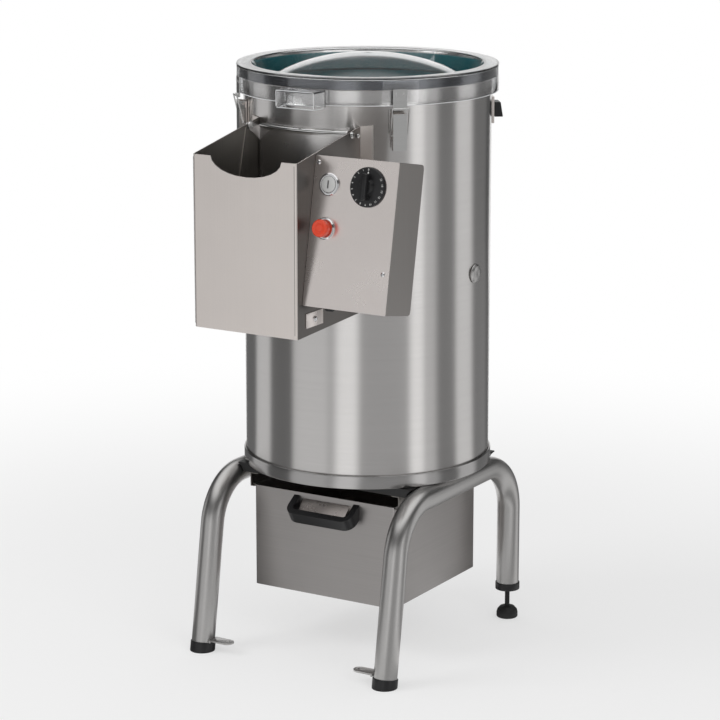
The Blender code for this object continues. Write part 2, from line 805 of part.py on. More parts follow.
def make_disc():
    skirt_outer = DISC_SKIRT_RADIUS
    skirt_inner = skirt_outer - DISC_SKIRT_WALL
    skirt_bottom = HUB_TOP - HUB_HEIGHT - DISC_SKIRT_LENGTH + DISC_THICKNESS / 2
    bore = SHAFT_RADIUS + SEAT_GAP
    ring_shares = (0.36, 0.58, 0.80, 0.97)
    rings = [(DISC_RADIUS * share, DISC_TOP) for share in ring_shares]
    disc = turned(
        "abrasive_disc",
        [
            (bore, HUB_TOP),
            (skirt_inner, HUB_TOP),
            *rings,
            (DISC_RADIUS, DISC_BOTTOM + DISC_THICKNESS * 2 / 3),
            (DISC_RADIUS, DISC_BOTTOM),
            (skirt_outer, DISC_BOTTOM),
            (skirt_outer, skirt_bottom),
            (skirt_inner, skirt_bottom),
            (skirt_inner, DISC_BOTTOM + DISC_THICKNESS / 2),
            (bore, DISC_BOTTOM + DISC_THICKNESS / 2),
        ],
        "teal_abrasive",
        DRUM_STEPS,
    )
    bpy.context.view_layer.update()
    graph = bpy.context.evaluated_depsgraph_get()
    mesh = bpy.data.meshes.new_from_object(disc.evaluated_get(graph), depsgraph=graph)
    disc.modifiers.clear()
    for vertex in mesh.vertices:
        radius = math.hypot(vertex.co.x, vertex.co.y)
        if abs(vertex.co.z - DISC_TOP) < MERGE and radius > skirt_outer:
            vertex.co.z += wave(radius, math.atan2(vertex.co.y, vertex.co.x))
    disc.data = mesh

    bore = SHAFT_TIP_RADIUS + SEAT_GAP
    # A six-sided bore reaches less far at its flats than at its corners
    flats = bore / math.cos(math.pi / 6)
    nut_low = HUB_TOP + SEAT_GAP
    tip = HUB_TOP + SHAFT_TIP_LENGTH
    crown = nut_low + NUT_HEIGHT
    turned(
        "disc_nut",
        [
            (0, tip + SHAFT_TIP_RADIUS),
            (SHAFT_TIP_RADIUS, tip + SHAFT_TIP_RADIUS),
            (NUT_RADIUS, crown),
            (NUT_RADIUS, nut_low),
            (flats, nut_low),
            (flats, tip + SEAT_GAP),
            (0, tip + SEAT_GAP),
        ],
        "polished_steel",
        6,
    )


# Drive: motor under the plate, belt to the driven pulley on the drive shaft
MOTOR_Y = 0.110
MOTOR_RADIUS = 0.062
MOTOR_LENGTH = 0.180
MOTOR_FLANGE = 0.070
MOTOR_FLANGE_THICKNESS = 0.007
MOTOR_BELL = 0.020
MOTOR_SHAFT_RADIUS = 0.007
MOTOR_SHAFT_DEPTH = 0.060
MOTOR_PILOT = 0.026
PLATE_SHEET = 0.003
PLATE_RIM = 0.018
DRIVEN_RADIUS = 0.075
MOTOR_PULLEY_RADIUS = 0.020
PULLEY_LIP = 0.004
PULLEY_LIP_THICKNESS = 0.002
BELT_WIDTH = 0.020
BELT_THICKNESS = 0.003
BELT_BOTTOM = 0.560
BELT_STEPS = 16
DRIVEN_HUB = 0.020
DRIVEN_HUB_DROP = 0.002
MOTOR_HUB = 0.014
HOUSING_RADIUS = 0.035
HOUSING_FLANGE = 0.060
HOUSING_FLANGE_THICKNESS = 0.006
HOUSING_LENGTH = 0.060
HOUSING_NECK_SHARE = 0.75

PULLEY_BOTTOM = BELT_BOTTOM - SEAT_GAP - PULLEY_LIP_THICKNESS
PULLEY_TOP = BELT_BOTTOM + BELT_WIDTH + SEAT_GAP + PULLEY_LIP_THICKNESS
HOUSING_BOTTOM = CHAMBER_FLOOR - SEAT_GAP - HOUSING_LENGTH


def pulley(name, radius, bore, hub, hub_low, hub_high, steps, at):
    lip = radius + PULLEY_LIP
    seat_low = BELT_BOTTOM - SEAT_GAP
    seat_high = BELT_BOTTOM + BELT_WIDTH + SEAT_GAP
    turned(
        name,
        [
            (bore, hub_high),
            (hub, hub_high),
            (hub, PULLEY_TOP),
            (lip, PULLEY_TOP),
            (lip, seat_high),
            (radius, seat_high),
            (radius, seat_low),
            (lip, seat_low),
            (lip, PULLEY_BOTTOM),
            (hub, PULLEY_BOTTOM),
            (hub, hub_low),
            (bore, hub_low),
        ],
        "cast_aluminium",
        steps,
        at=at,
    )


def belt_loop(extra):
    """Points round both pulleys, extra outside their belt seats, as seen from above."""
    driven = DRIVEN_RADIUS + extra
    motor = MOTOR_PULLEY_RADIUS + extra
    lean = math.asin((driven - motor) / MOTOR_Y)
    far_side = arc((0, MOTOR_Y), motor, lean, math.pi - lean, BELT_STEPS // 2)
    near_side = arc((0, 0), driven, math.pi - lean, 2 * math.pi + lean, BELT_STEPS * 3 // 2)
    return far_side + near_side


def make_drive():
    shaft_low = PULLEY_BOTTOM - DRIVEN_HUB_DROP
    tip = HUB_TOP + SHAFT_TIP_LENGTH
    turned(
        "drive_shaft",
        [
            (0, tip),
            (SHAFT_TIP_RADIUS, tip),
            (SHAFT_TIP_RADIUS, HUB_TOP - SEAT_GAP),
            (SHAFT_RADIUS, HUB_TOP - SEAT_GAP),
            (SHAFT_RADIUS, shaft_low),
            (0, shaft_low),
        ],
        "polished_steel",
    )
    hub_bore = SHAFT_RADIUS + SEAT_GAP
    hub_high = HOUSING_BOTTOM - RUN_GAP
    pulley("driven_pulley", DRIVEN_RADIUS, hub_bore, DRIVEN_HUB, shaft_low, hub_high, SHAFT_STEPS, (0, 0, 0))

    neck = HOUSING_RADIUS * HOUSING_NECK_SHARE
    flange_top = CHAMBER_FLOOR - SEAT_GAP
    flange_low = flange_top - HOUSING_FLANGE_THICKNESS
    turned(
        "bearing_housing",
        [
            (hub_bore, flange_top),
            (HOUSING_FLANGE, flange_top),
            (HOUSING_FLANGE, flange_low),
            (HOUSING_RADIUS, flange_low),
            (HOUSING_RADIUS, HOUSING_BOTTOM + HOUSING_FLANGE_THICKNESS),
            (neck, HOUSING_BOTTOM),
            (hub_bore, HOUSING_BOTTOM),
        ],
        "cast_aluminium",
    )

    motor_at = (0, MOTOR_Y, 0)
    motor_top = MOTOR_PLATE_TOP - PLATE_SHEET - SEAT_GAP
    bore = MOTOR_SHAFT_RADIUS + SEAT_GAP
    motor_low = motor_top - MOTOR_LENGTH
    waist = MOTOR_RADIUS - MOTOR_FLANGE_THICKNESS
    turned(
        "motor",
        [
            (0, motor_top - MOTOR_SHAFT_DEPTH),
            (bore, motor_top - MOTOR_SHAFT_DEPTH),
            (bore, motor_top),
            (MOTOR_FLANGE, motor_top),
            (MOTOR_FLANGE, motor_top - MOTOR_FLANGE_THICKNESS),
            (waist, motor_top - MOTOR_BELL),
            (MOTOR_RADIUS, motor_top - MOTOR_BELL),
            (MOTOR_RADIUS, motor_low + MOTOR_BELL),
            (waist, motor_low),
            (0, motor_low),
        ],
        "motor_enamel",
        at=motor_at,
    )
    shaft_end = PULLEY_TOP + PULLEY_LIP
    shaft_start = motor_top - MOTOR_SHAFT_DEPTH + SEAT_GAP
    rod("motor_shaft", MOTOR_SHAFT_RADIUS, shaft_start, shaft_end, "polished_steel", SMALL_STEPS, at=motor_at)
    hub_low = PULLEY_BOTTOM - PULLEY_LIP
    pulley("motor_pulley", MOTOR_PULLEY_RADIUS, bore, MOTOR_HUB, hub_low, shaft_end, SMALL_STEPS, motor_at)

    # The facets of the belt's inside stay clear of the pulleys that turn in it
    slack = SEAT_GAP + DRIVEN_RADIUS * (1 / math.cos(math.pi / (2 * BELT_STEPS)) - 1)
    outline(
        "drive_belt",
        belt_loop(slack + BELT_THICKNESS),
        BELT_WIDTH,
        "black_rubber",
        holes=[belt_loop(slack)],
        at=(0, 0, BELT_BOTTOM + BELT_WIDTH / 2),
    )

    plate_low = MOTOR_PLATE_TOP - PLATE_SHEET
    plate = turned(
        "motor_plate",
        [
            (0, MOTOR_PLATE_TOP),
            (BORE_RADIUS, MOTOR_PLATE_TOP),
            (BORE_RADIUS, MOTOR_PLATE_TOP - PLATE_RIM),
            (BORE_RADIUS - PLATE_SHEET, MOTOR_PLATE_TOP - PLATE_RIM),
            (BORE_RADIUS - PLATE_SHEET, plate_low),
            (0, plate_low),
        ],
        "brushed_steel",
        DRUM_STEPS,
    )
    low, high = plate_low - OVERRUN, MOTOR_PLATE_TOP + OVERRUN
    pilot = round_hole("pilot_hole", MOTOR_PILOT, low, high, SHAFT_STEPS, at=motor_at)
    cut(plate, pilot, drain_cutter("plate_drain_hole", low, high, SEAT_GAP))

    bore = DRAIN_RADIUS - SHEET
    top = CHAMBER_FLOOR - SEAT_GAP
    turned(
        "drain_pipe",
        [
            (bore, top),
            (DRAIN_RADIUS + DRAIN_FLANGE, top),
            (DRAIN_RADIUS + DRAIN_FLANGE, top - FLOOR_SHEET),
            (DRAIN_RADIUS, top - FLOOR_SHEET),
            (DRAIN_RADIUS, DRAIN_END),
            (bore, DRAIN_END),
        ],
        "brushed_steel",
        at=(DRAIN_X, DRAIN_Y, 0),
    )


def make_side_fittings():
    seat = DRUM_RADIUS + SEAT_GAP
    wall_inside = DRUM_RADIUS - DRUM_WALL * 3
    turned(
        "side_plug",
        [
            (0, seat + PLUG_CROWN),
            (PLUG_NECK, seat + PLUG_CROWN * 3 / 4),
            (PLUG_RADIUS, seat + PLUG_CROWN / 4),
            (PLUG_RADIUS, seat),
            (PLUG_NECK, seat),
            (PLUG_NECK, wall_inside),
            (0, wall_inside),
        ],
        "polished_steel",
        at=(0, 0, PLUG_HEIGHT),
        rotation=RIGHTWARD,
    )
    flange = INLET_RADIUS + INLET_BORE
    liner_inside = BORE_RADIUS - LINER_THICKNESS
    reach_shares = (0.08, 0.35, 0.45, 0.66, 0.76, 1.0)
    stations = [DRUM_RADIUS + INLET_REACH * share for share in reach_shares]
    waist = INLET_RADIUS - SHEET
    turned(
        "water_inlet",
        [
            (INLET_BORE, stations[5]),
            (waist, stations[5]),
            (INLET_RADIUS, stations[4]),
            (waist, stations[4]),
            (INLET_RADIUS, stations[3]),
            (waist, stations[3]),
            (waist, stations[1]),
            (flange, stations[1]),
            (flange, seat),
            (INLET_RADIUS, seat),
            (INLET_RADIUS, liner_inside),
            (INLET_BORE, liner_inside),
        ],
        "polished_steel",
        SMALL_STEPS,
        at=(0, 0, INLET_HEIGHT),
        rotation=BACKWARD,
    )
    flange = CONDUIT_RADIUS + CONDUIT_FLANGE
    turned(
        "wiring_conduit",
        [
            (CONDUIT_RADIUS - CONDUIT_WALL, CONDUIT_END),
            (CONDUIT_RADIUS, CONDUIT_END),
            (CONDUIT_RADIUS, seat + CONDUIT_WALL),
            (flange, seat + CONDUIT_WALL),
            (flange, seat),
            (CONDUIT_RADIUS, seat),
            (CONDUIT_RADIUS, wall_inside),
            (CONDUIT_RADIUS - CONDUIT_WALL, wall_inside),
        ],
        "black_plastic",
        SMALL_STEPS,
        at=(0, 0, CONDUIT_HEIGHT),
        rotation=(math.pi / 2, 0, CONDUIT_ANGLE),
    )


# Lid, its gasket, hinge and sensor
LID_OVERHANG = 0.011
LID_LEDGE_INSET = 0.024
LID_WELL_INSET = 0.039
LID_RADIUS = DRUM_RADIUS + LID_OVERHANG
LID_WALL = 0.003
LID_SKIRT = 0.042
LID_LEDGE = LID_RADIUS - LID_LEDGE_INSET
LID_WELL_RADIUS = LID_RADIUS - LID_WELL_INSET
LID_WELL_DEPTH = 0.030
LID_DOME_RISE = 0.044
LID_EDGE = 0.003
GASKET_THICKNESS = 0.0015
BLOCK_HALF_WIDTH = 0.036
BLOCK_SHIFT = 0.012
BLOCK_STANDOFF = 0.026
BLOCK_DROP = 0.0192
BLOCK_HEIGHT = 0.027
HINGE_STANDOFF = 0.015
HINGE_DROP = 0.0372
HINGE_PIN_RADIUS = 0.003
KNUCKLE_RADIUS = 0.006
LEAF_HALF_WIDTH = 0.020
LEAF_DROP = 0.0072
LEAF_KNUCKLE_HALF = 0.012
BASE_KNUCKLE_LENGTH = 0.014
BASE_DROP = 0.036
SENSOR_ANGLE = math.radians(127)
SENSOR_DROP = 0.0531
SENSOR_HEIGHT = 0.043
SENSOR_HALF_WIDTH = 0.014
SWITCH_TOP_REACH = 0.010
SWITCH_LOW_REACH = 0.014

GASKET_BOTTOM = DRUM_TOP + SEAT_GAP
LID_SEAT = GASKET_BOTTOM + GASKET_THICKNESS + SEAT_GAP
LID_TOP = LID_SEAT + LID_WALL
SKIRT_BOTTOM = LID_TOP - LID_SKIRT
BLOCK_REACH = LID_RADIUS + BLOCK_STANDOFF
BLOCK_TOP = LID_TOP - BLOCK_DROP
BLOCK_BOTTOM = BLOCK_TOP - BLOCK_HEIGHT
HINGE_Y = LID_RADIUS + HINGE_STANDOFF
HINGE_Z = LID_TOP - HINGE_DROP
LEAF_TOP = LID_TOP - LEAF_DROP
SENSOR_TOP = DRUM_TOP - SENSOR_DROP
SENSOR_BOTTOM = SENSOR_TOP - SENSOR_HEIGHT


def dome_points(radius, base, rise, steps):
    """A shallow dome from its top down to its edge, as an arc through both."""
    sphere = (radius**2 + rise**2) / (2 * rise)
    edge = math.asin(radius / sphere)
    turns = [edge * step / steps for step in range(steps + 1)]
    return [(sphere * math.sin(turn), base + rise - sphere * (1 - math.cos(turn))) for turn in turns]


def make_lid(place):
    well_base = LID_TOP - LID_WELL_DEPTH
    outer = dome_points(LID_WELL_RADIUS, well_base, LID_DOME_RISE, DOME_STEPS)
    inner = dome_points(LID_WELL_RADIUS, well_base - LID_WALL, LID_DOME_RISE, DOME_STEPS)
    slope = LID_WALL
    lid = turned(
        "lid",
        [
            *outer,
            (LID_LEDGE, LID_TOP),
            (LID_RADIUS - LID_EDGE, LID_TOP),
            (LID_RADIUS, LID_TOP - LID_EDGE),
            (LID_RADIUS, SKIRT_BOTTOM),
            (LID_RADIUS - LID_WALL, SKIRT_BOTTOM),
            (LID_RADIUS - LID_WALL, LID_SEAT),
            (LID_LEDGE + slope, LID_SEAT),
            (LID_WELL_RADIUS + slope, well_base - LID_WALL),
            *reversed(inner[:-1]),
        ],
        "clear_plastic",
        DRUM_STEPS,
        **place,
    )
    inside = LID_RADIUS - LID_WALL / 2
    low_x, high_x = BLOCK_SHIFT - BLOCK_HALF_WIDTH, BLOCK_SHIFT + BLOCK_HALF_WIDTH
    handle = block(
        "lid_handle_blank",
        (low_x, -BLOCK_REACH, BLOCK_BOTTOM),
        (high_x, -DRUM_RADIUS, BLOCK_TOP),
        None,
    )
    soften(handle, LID_EDGE, axis=(0, 0, 1))
    hollow = block(
        "lid_handle_hollow",
        (low_x + LID_WALL, LID_WALL - BLOCK_REACH, BLOCK_BOTTOM - OVERRUN),
        (high_x - LID_WALL, OVERRUN - DRUM_RADIUS, BLOCK_TOP - LID_WALL),
        None,
    )
    core = rod("lid_handle_core", inside, BLOCK_BOTTOM - OVERRUN, BLOCK_TOP + OVERRUN, None, DRUM_STEPS)
    cut(handle, hollow, core)
    fuse(lid, handle)

    washer(
        "lid_gasket",
        BORE_RADIUS,
        DRUM_RADIUS + BEAD_REACH - BEAD_ROUND,
        GASKET_BOTTOM,
        GASKET_BOTTOM + GASKET_THICKNESS,
        "black_rubber",
        DRUM_STEPS,
    )


def make_lid_hinge(place):
    leaf_y = LID_RADIUS + SEAT_GAP
    leaf = block(
        "lid_hinge_leaf",
        (-LEAF_HALF_WIDTH, leaf_y, HINGE_Z - KNUCKLE_RADIUS / 2),
        (LEAF_HALF_WIDTH, leaf_y + FLOOR_SHEET, LEAF_TOP),
        "brushed_steel",
        **place,
    )
    arm = block(
        "leaf_arm",
        (-LEAF_KNUCKLE_HALF, leaf_y + FLOOR_SHEET / 2, HINGE_Z - KNUCKLE_RADIUS / 2),
        (LEAF_KNUCKLE_HALF, HINGE_Y, HINGE_Z + KNUCKLE_RADIUS / 2),
        None,
    )
    axis = {"at": (0, HINGE_Y, HINGE_Z), "rotation": RIGHTWARD}
    half = LEAF_KNUCKLE_HALF
    leaf_knuckle = rod("leaf_knuckle", KNUCKLE_RADIUS, -half, half, None, SMALL_STEPS, **axis)
    reach = half + BASE_KNUCKLE_LENGTH + OVERRUN
    bore_radius = HINGE_PIN_RADIUS + SEAT_GAP
    bore = round_hole("hinge_bore", bore_radius, -reach, reach, **axis)
    cut(fuse(leaf, arm, leaf_knuckle), bore)

    base_y = DRUM_RADIUS + SEAT_GAP
    shelf_top = SKIRT_BOTTOM - FLOOR_SHEET
    outer = half + RUN_GAP + BASE_KNUCKLE_LENGTH
    base = block(
        "lid_hinge_base",
        (-outer, base_y, shelf_top - BASE_DROP),
        (outer, base_y + FLOOR_SHEET, shelf_top - FLOOR_SHEET / 2),
        "brushed_steel",
    )
    shelf = block(
        "base_shelf",
        (-outer, base_y, shelf_top - FLOOR_SHEET),
        (outer, HINGE_Y + KNUCKLE_RADIUS / 2, shelf_top),
        None,
    )
    fuse(base, shelf)
    for side, name in SIDES:
        low, high = sorted((side * (half + RUN_GAP), side * outer))
        lug = block(
            f"base_lug_{name}",
            (low, HINGE_Y - KNUCKLE_RADIUS / 2, shelf_top - FLOOR_SHEET / 2),
            (high, HINGE_Y + KNUCKLE_RADIUS / 2, HINGE_Z),
            None,
        )
        knuckle = rod(f"base_knuckle_{name}", KNUCKLE_RADIUS, low, high, None, SMALL_STEPS, **axis)
        fuse(base, lug, knuckle)
    pin_half = outer + FLOOR_SHEET
    fuse(base, rod("hinge_pin", HINGE_PIN_RADIUS, -pin_half, pin_half, None, SMALL_STEPS, **axis))


def make_sensor():
    """A steel plate on the drum, and the black switch that it carries."""
    frame = new_empty("sensor_frame", (0, 0, 0), (0, 0, SENSOR_ANGLE), MACHINE)
    half = SENSOR_HALF_WIDTH
    plate_in = DRUM_RADIUS + SEAT_GAP
    plate_out = plate_in + FLOOR_SHEET * 2
    block(
        "sensor_bracket", (-half, -plate_out, SENSOR_BOTTOM), (half, -plate_in, SENSOR_TOP),
        "brushed_steel", parent=frame,
    )
    switch_shares = (0.24, 0.80)
    low, high = [SENSOR_BOTTOM + (SENSOR_TOP - SENSOR_BOTTOM) * share for share in switch_shares]
    face = plate_out + SEAT_GAP
    outline(
        "lid_sensor",
        [(-face, low), (-face, high), (-face - SWITCH_TOP_REACH, high), (-face - SWITCH_LOW_REACH, low)],
        half * 2,
        "black_plastic",
        rotation=SIDEWAYS,
        parent=frame,
    )


# Toggle latches: lever and bail on the drum, catch on the lid
LATCH_ANGLE = math.radians(44.6)
LATCH_WIDTH = 0.022
LATCH_SHEET = 0.0015
CATCH_DROP = 0.0172
CATCH_HEIGHT = 0.032
CATCH_LIP = 0.0028
LEVER_RISE = 0.0045
LEVER_LENGTH = 0.057
LEVER_STANDOFF = 0.013
LEVER_DEPTH = 0.0085
PIVOT_STANDOFF = 0.007
PIVOT_DROP = 0.0546
PIVOT_PIN = 0.002
EAR_ROUND = 0.0040
BAIL_DROP = 0.0295
BAIL_WIRE = 0.0012
BAIL_STANDOFF = 0.0172
BAIL_HOOK = 0.0025
LATCH_BASE_DROP = 0.0375

CATCH_TOP = LID_TOP - CATCH_DROP
CATCH_BOTTOM = CATCH_TOP - CATCH_HEIGHT
PIVOT_HEIGHT = DRUM_TOP - PIVOT_DROP
PIVOT_RADIUS_OUT = DRUM_RADIUS + PIVOT_STANDOFF
LEVER_TOP = PIVOT_HEIGHT + LEVER_RISE
LEVER_BOTTOM = LEVER_TOP - LEVER_LENGTH
LEVER_FACE = DRUM_RADIUS + LEVER_STANDOFF
BAIL_REACH_OUT = DRUM_RADIUS + BAIL_STANDOFF
BAIL_TOP = CATCH_BOTTOM + BAIL_HOOK
LATCH_BASE_BOTTOM = PIVOT_HEIGHT - LATCH_BASE_DROP


def make_latch(side, name, lid_place):
    turn = (0, 0, side * LATCH_ANGLE)
    frame = new_empty(f"latch_frame_{name}", (0, 0, 0), turn, MACHINE)
    lid_frame = new_empty(f"catch_frame_{name}", lid_place["at"], turn, lid_place["parent"])
    half = LATCH_WIDTH / 2

    catch_in = LID_RADIUS + SEAT_GAP
    catch_out = catch_in + LATCH_SHEET
    hook = [
        (-catch_in, CATCH_BOTTOM),
        (-catch_in, CATCH_TOP),
        (-catch_out, CATCH_TOP),
        (-catch_out, CATCH_BOTTOM + LATCH_SHEET),
        (-catch_out - CATCH_LIP + LATCH_SHEET, CATCH_BOTTOM + LATCH_SHEET),
        (-catch_out - CATCH_LIP + LATCH_SHEET, CATCH_BOTTOM + LATCH_SHEET * 3),
        (-catch_out - CATCH_LIP, CATCH_BOTTOM + LATCH_SHEET * 3),
        (-catch_out - CATCH_LIP, CATCH_BOTTOM),
    ]
    outline(
        f"latch_catch_{name}", hook, LATCH_WIDTH, "polished_steel", rotation=SIDEWAYS, parent=lid_frame
    )

    pivot = (0, -PIVOT_RADIUS_OUT, PIVOT_HEIGHT)
    pin_reach = half + LATCH_SHEET / 2
    base_in = DRUM_RADIUS + SEAT_GAP
    base = block(
        f"latch_base_{name}",
        (-half, -base_in - LATCH_SHEET, LATCH_BASE_BOTTOM),
        (half, -base_in, PIVOT_HEIGHT + EAR_ROUND),
        "brushed_steel",
        parent=frame,
    )
    ear_round = arc((-PIVOT_RADIUS_OUT, PIVOT_HEIGHT), EAR_ROUND, math.pi / 2, math.pi * 3 / 2, 6)
    ear_foot = -base_in - LATCH_SHEET / 2
    ear_low = PIVOT_HEIGHT - EAR_ROUND * 2
    ear_loop = [(ear_foot, ear_low), (ear_foot, PIVOT_HEIGHT + EAR_ROUND), *ear_round]
    ear_x = half - LATCH_SHEET - RUN_GAP - LATCH_SHEET / 2
    for ear_side, ear_name in SIDES:
        ear = outline(
            f"ear_{name}_{ear_name}",
            ear_loop,
            LATCH_SHEET,
            None,
            at=(ear_side * ear_x, 0, 0),
            rotation=SIDEWAYS,
            parent=frame,
        )
        fuse(base, ear)
    pin = rod(
        f"latch_pin_{name}", PIVOT_PIN, -pin_reach, pin_reach, None, SMALL_STEPS,
        at=pivot, rotation=RIGHTWARD, parent=frame,
    )
    fuse(base, pin)

    lever_place = on_axis(f"lever_axis_{name}", pivot, frame)
    lever = block(
        f"latch_lever_{name}",
        (-half, -LEVER_FACE, LEVER_BOTTOM),
        (half, LEVER_DEPTH - LEVER_FACE, LEVER_TOP),
        "polished_steel",
        open_side=(0, 1, 0),
        **lever_place,
    )
    # The ends of the channel are open, so that only its face and two flanges are left
    cage = bmesh.new()
    cage.from_mesh(lever.data)
    cage.normal_update()
    ends = [face for face in cage.faces if abs(face.normal.z) > 1 / 2]
    bmesh.ops.delete(cage, geom=ends, context="FACES_ONLY")
    cage.to_mesh(lever.data)
    cage.free()
    thicken(lever, LATCH_SHEET)
    reach = half + OVERRUN
    pivot_hole = round_hole(
        f"pivot_hole_{name}", PIVOT_PIN + SEAT_GAP, -reach, reach,
        at=pivot, rotation=RIGHTWARD, parent=frame,
    )
    bail_at = (0, -PIVOT_RADIUS_OUT, PIVOT_HEIGHT - BAIL_DROP)
    bail_hole = round_hole(
        f"bail_hole_{name}", BAIL_WIRE + SEAT_GAP, -reach, reach,
        at=bail_at, rotation=RIGHTWARD, parent=frame,
    )
    cut(lever, pivot_hole, bail_hole)

    wire_x = half + RUN_GAP + BAIL_WIRE + PIVOT_PIN / 2
    end_x = half - LATCH_SHEET
    rise = BAIL_TOP - bail_at[2]
    out = BAIL_REACH_OUT - PIVOT_RADIUS_OUT
    corners = [(-end_x, 0, 0), (-wire_x, 0, 0), (-wire_x, -out, rise)]
    corners += [(-x, y, z) for x, y, z in reversed(corners)]
    path = rounded_path(corners, BAIL_WIRE, 2)
    tube(
        f"latch_bail_{name}", path, BAIL_WIRE, "polished_steel",
        at=lever_place["at"] + Vector(bail_at), parent=lever_place["parent"],
    )


# Discharge chute and the outlet door in it
CHUTE_SLOPE = 0.18
CHUTE_BOTTOM_SLOPE = 0.049
CHUTE_CORNER = 0.004
FLANGE_LAP = math.radians(5.46)
FLANGE_ANGLE = math.asin(CHUTE_HALF_WIDTH / DRUM_RADIUS) + FLANGE_LAP
SCOOP_HALF_WIDTH = 0.0635
SCOOP_DEPTH = 0.028
SCOOP_SHIFT = 0.003
SCOOP_STEPS = 12
CHEEK_TOP_STANDOFF = 0.017
CHEEK_LOW_STANDOFF = 0.059
CHEEK_TUCK = 0.016
CHEEK_THICKNESS = 0.002
DOOR_PIVOT_STANDOFF = 0.005
DOOR_PIVOT_DROP = 0.006
DOOR_GAP = 0.0008
DOOR_TOP_DROP = 0.002
DOOR_LAP = 0.008
DOOR_ROLL_RADIUS = 0.0035
DOOR_ROLL_HALF_WIDTH = 0.071
DOOR_EAR = 0.002
DOOR_EAR_ROUND = 0.008
DOOR_EAR_HEIGHT = 0.023
DOOR_PIN_RADIUS = 0.0029
DOOR_BOLT_HEAD = 0.0055
DOOR_BOLT_HEIGHT = 0.004

CHEEK_FRONT_TOP = DRUM_RADIUS + CHEEK_TOP_STANDOFF
CHEEK_FRONT_LOW = DRUM_RADIUS + CHEEK_LOW_STANDOFF
CHEEK_REAR = DRUM_RADIUS - CHEEK_TUCK
DOOR_PIVOT_REACH = DRUM_RADIUS + DOOR_PIVOT_STANDOFF
DOOR_PIVOT_HEIGHT = CHUTE_REAR_TOP - DOOR_PIVOT_DROP
DOOR_TOP = DOOR_PIVOT_HEIGHT - DOOR_TOP_DROP
DOOR_BOTTOM = OPENING_BOTTOM - DOOR_LAP
DOOR_EAR_LOW = DOOR_TOP - DOOR_EAR_HEIGHT


def chute_top(y):
    return CHUTE_REAR_TOP + CHUTE_SLOPE * (y + DRUM_RADIUS)


def chute_bottom(y):
    return CHUTE_BOTTOM + CHUTE_BOTTOM_SLOPE * (y + CHUTE_REACH)


def from_front(radius, angle):
    return (radius * math.sin(angle), -radius * math.cos(angle))


def wall_loop(half_width, front, corner, radius, flange):
    """One face of the folded sheet in plan, from the left flange round the front to the right."""
    meeting = math.asin(half_width / radius)
    angles = [flange + (meeting - flange) * step / 3 for step in range(4)]
    hug = [from_front(radius, -angle) for angle in angles]
    left_corner = arc((-half_width + corner, -front + corner), corner, math.pi, math.pi * 3 / 2, 3)
    right_corner = arc((half_width - corner, -front + corner), corner, math.pi * 3 / 2, 2 * math.pi, 3)
    other_hug = [(-x, y) for x, y in reversed(hug)]
    return hug + left_corner + right_corner + other_hug


def make_chute():
    hug = DRUM_RADIUS + SEAT_GAP
    outer = wall_loop(CHUTE_HALF_WIDTH, CHUTE_REACH, CHUTE_CORNER, hug + SHEET, FLANGE_ANGLE)
    inner = wall_loop(
        CHUTE_HALF_WIDTH - SHEET, CHUTE_REACH - SHEET, CHUTE_CORNER - SHEET, hug, FLANGE_ANGLE
    )
    height = chute_top(0) - CHUTE_BOTTOM
    chute = outline(
        "discharge_chute",
        outer + inner[::-1],
        height,
        "brushed_steel",
        at=(0, 0, CHUTE_BOTTOM + height / 2),
    )
    width = 2 * DRUM_RADIUS
    before, behind = -CHUTE_REACH - OVERRUN, 0
    above = chute_top(0) + OVERRUN
    top_loop = [(before, chute_top(before)), (behind, chute_top(behind)), (behind, above), (before, above)]
    below = CHUTE_BOTTOM - OVERRUN
    low_loop = [
        (before, chute_bottom(before)), (behind, chute_bottom(behind)), (behind, below), (before, below),
    ]
    top_cut = outline("chute_top_trim", top_loop, width, None, rotation=SIDEWAYS)
    low_cut = outline("chute_bottom_trim", low_loop, width, None, rotation=SIDEWAYS)
    turns = [math.pi + math.pi * step / SCOOP_STEPS for step in range(SCOOP_STEPS + 1)]
    scoop_loop = [(SCOOP_HALF_WIDTH * math.cos(turn), SCOOP_DEPTH * math.sin(turn)) for turn in turns]
    scoop_loop += [(SCOOP_HALF_WIDTH, OVERRUN), (-SCOOP_HALF_WIDTH, OVERRUN)]
    scoop = outline(
        "chute_scoop",
        scoop_loop,
        OVERRUN * 2,
        None,
        at=(SCOOP_SHIFT, -CHUTE_REACH, chute_top(-CHUTE_REACH)),
        rotation=FORWARD,
    )
    cheek_top = DOOR_PIVOT_HEIGHT - DOOR_PIN_RADIUS
    cheek_loop = [
        (-CHEEK_REAR, DOOR_BOTTOM),
        (-CHEEK_REAR, chute_top(-CHEEK_REAR) - SHEET),
        (-CHEEK_FRONT_TOP, min(chute_top(-CHEEK_FRONT_TOP) - SHEET, cheek_top + SHEET)),
        (-CHEEK_FRONT_LOW, DOOR_BOTTOM),
    ]
    reach = CHUTE_HALF_WIDTH + OVERRUN
    pivot_hole = round_hole(
        "door_pivot_hole", DOOR_PIN_RADIUS + SEAT_GAP, -reach, reach,
        at=(0, -DOOR_PIVOT_REACH, DOOR_PIVOT_HEIGHT), rotation=RIGHTWARD,
    )
    cut(chute, top_cut, low_cut, scoop)
    for side, name in SIDES:
        cheek = outline(
            f"cheek_{name}",
            cheek_loop,
            CHEEK_THICKNESS,
            None,
            at=(side * (CHUTE_HALF_WIDTH - CHEEK_THICKNESS), 0, 0),
            rotation=SIDEWAYS,
        )
        fuse(chute, cheek)
    cut(chute, pivot_hole)
    return pivot_hole


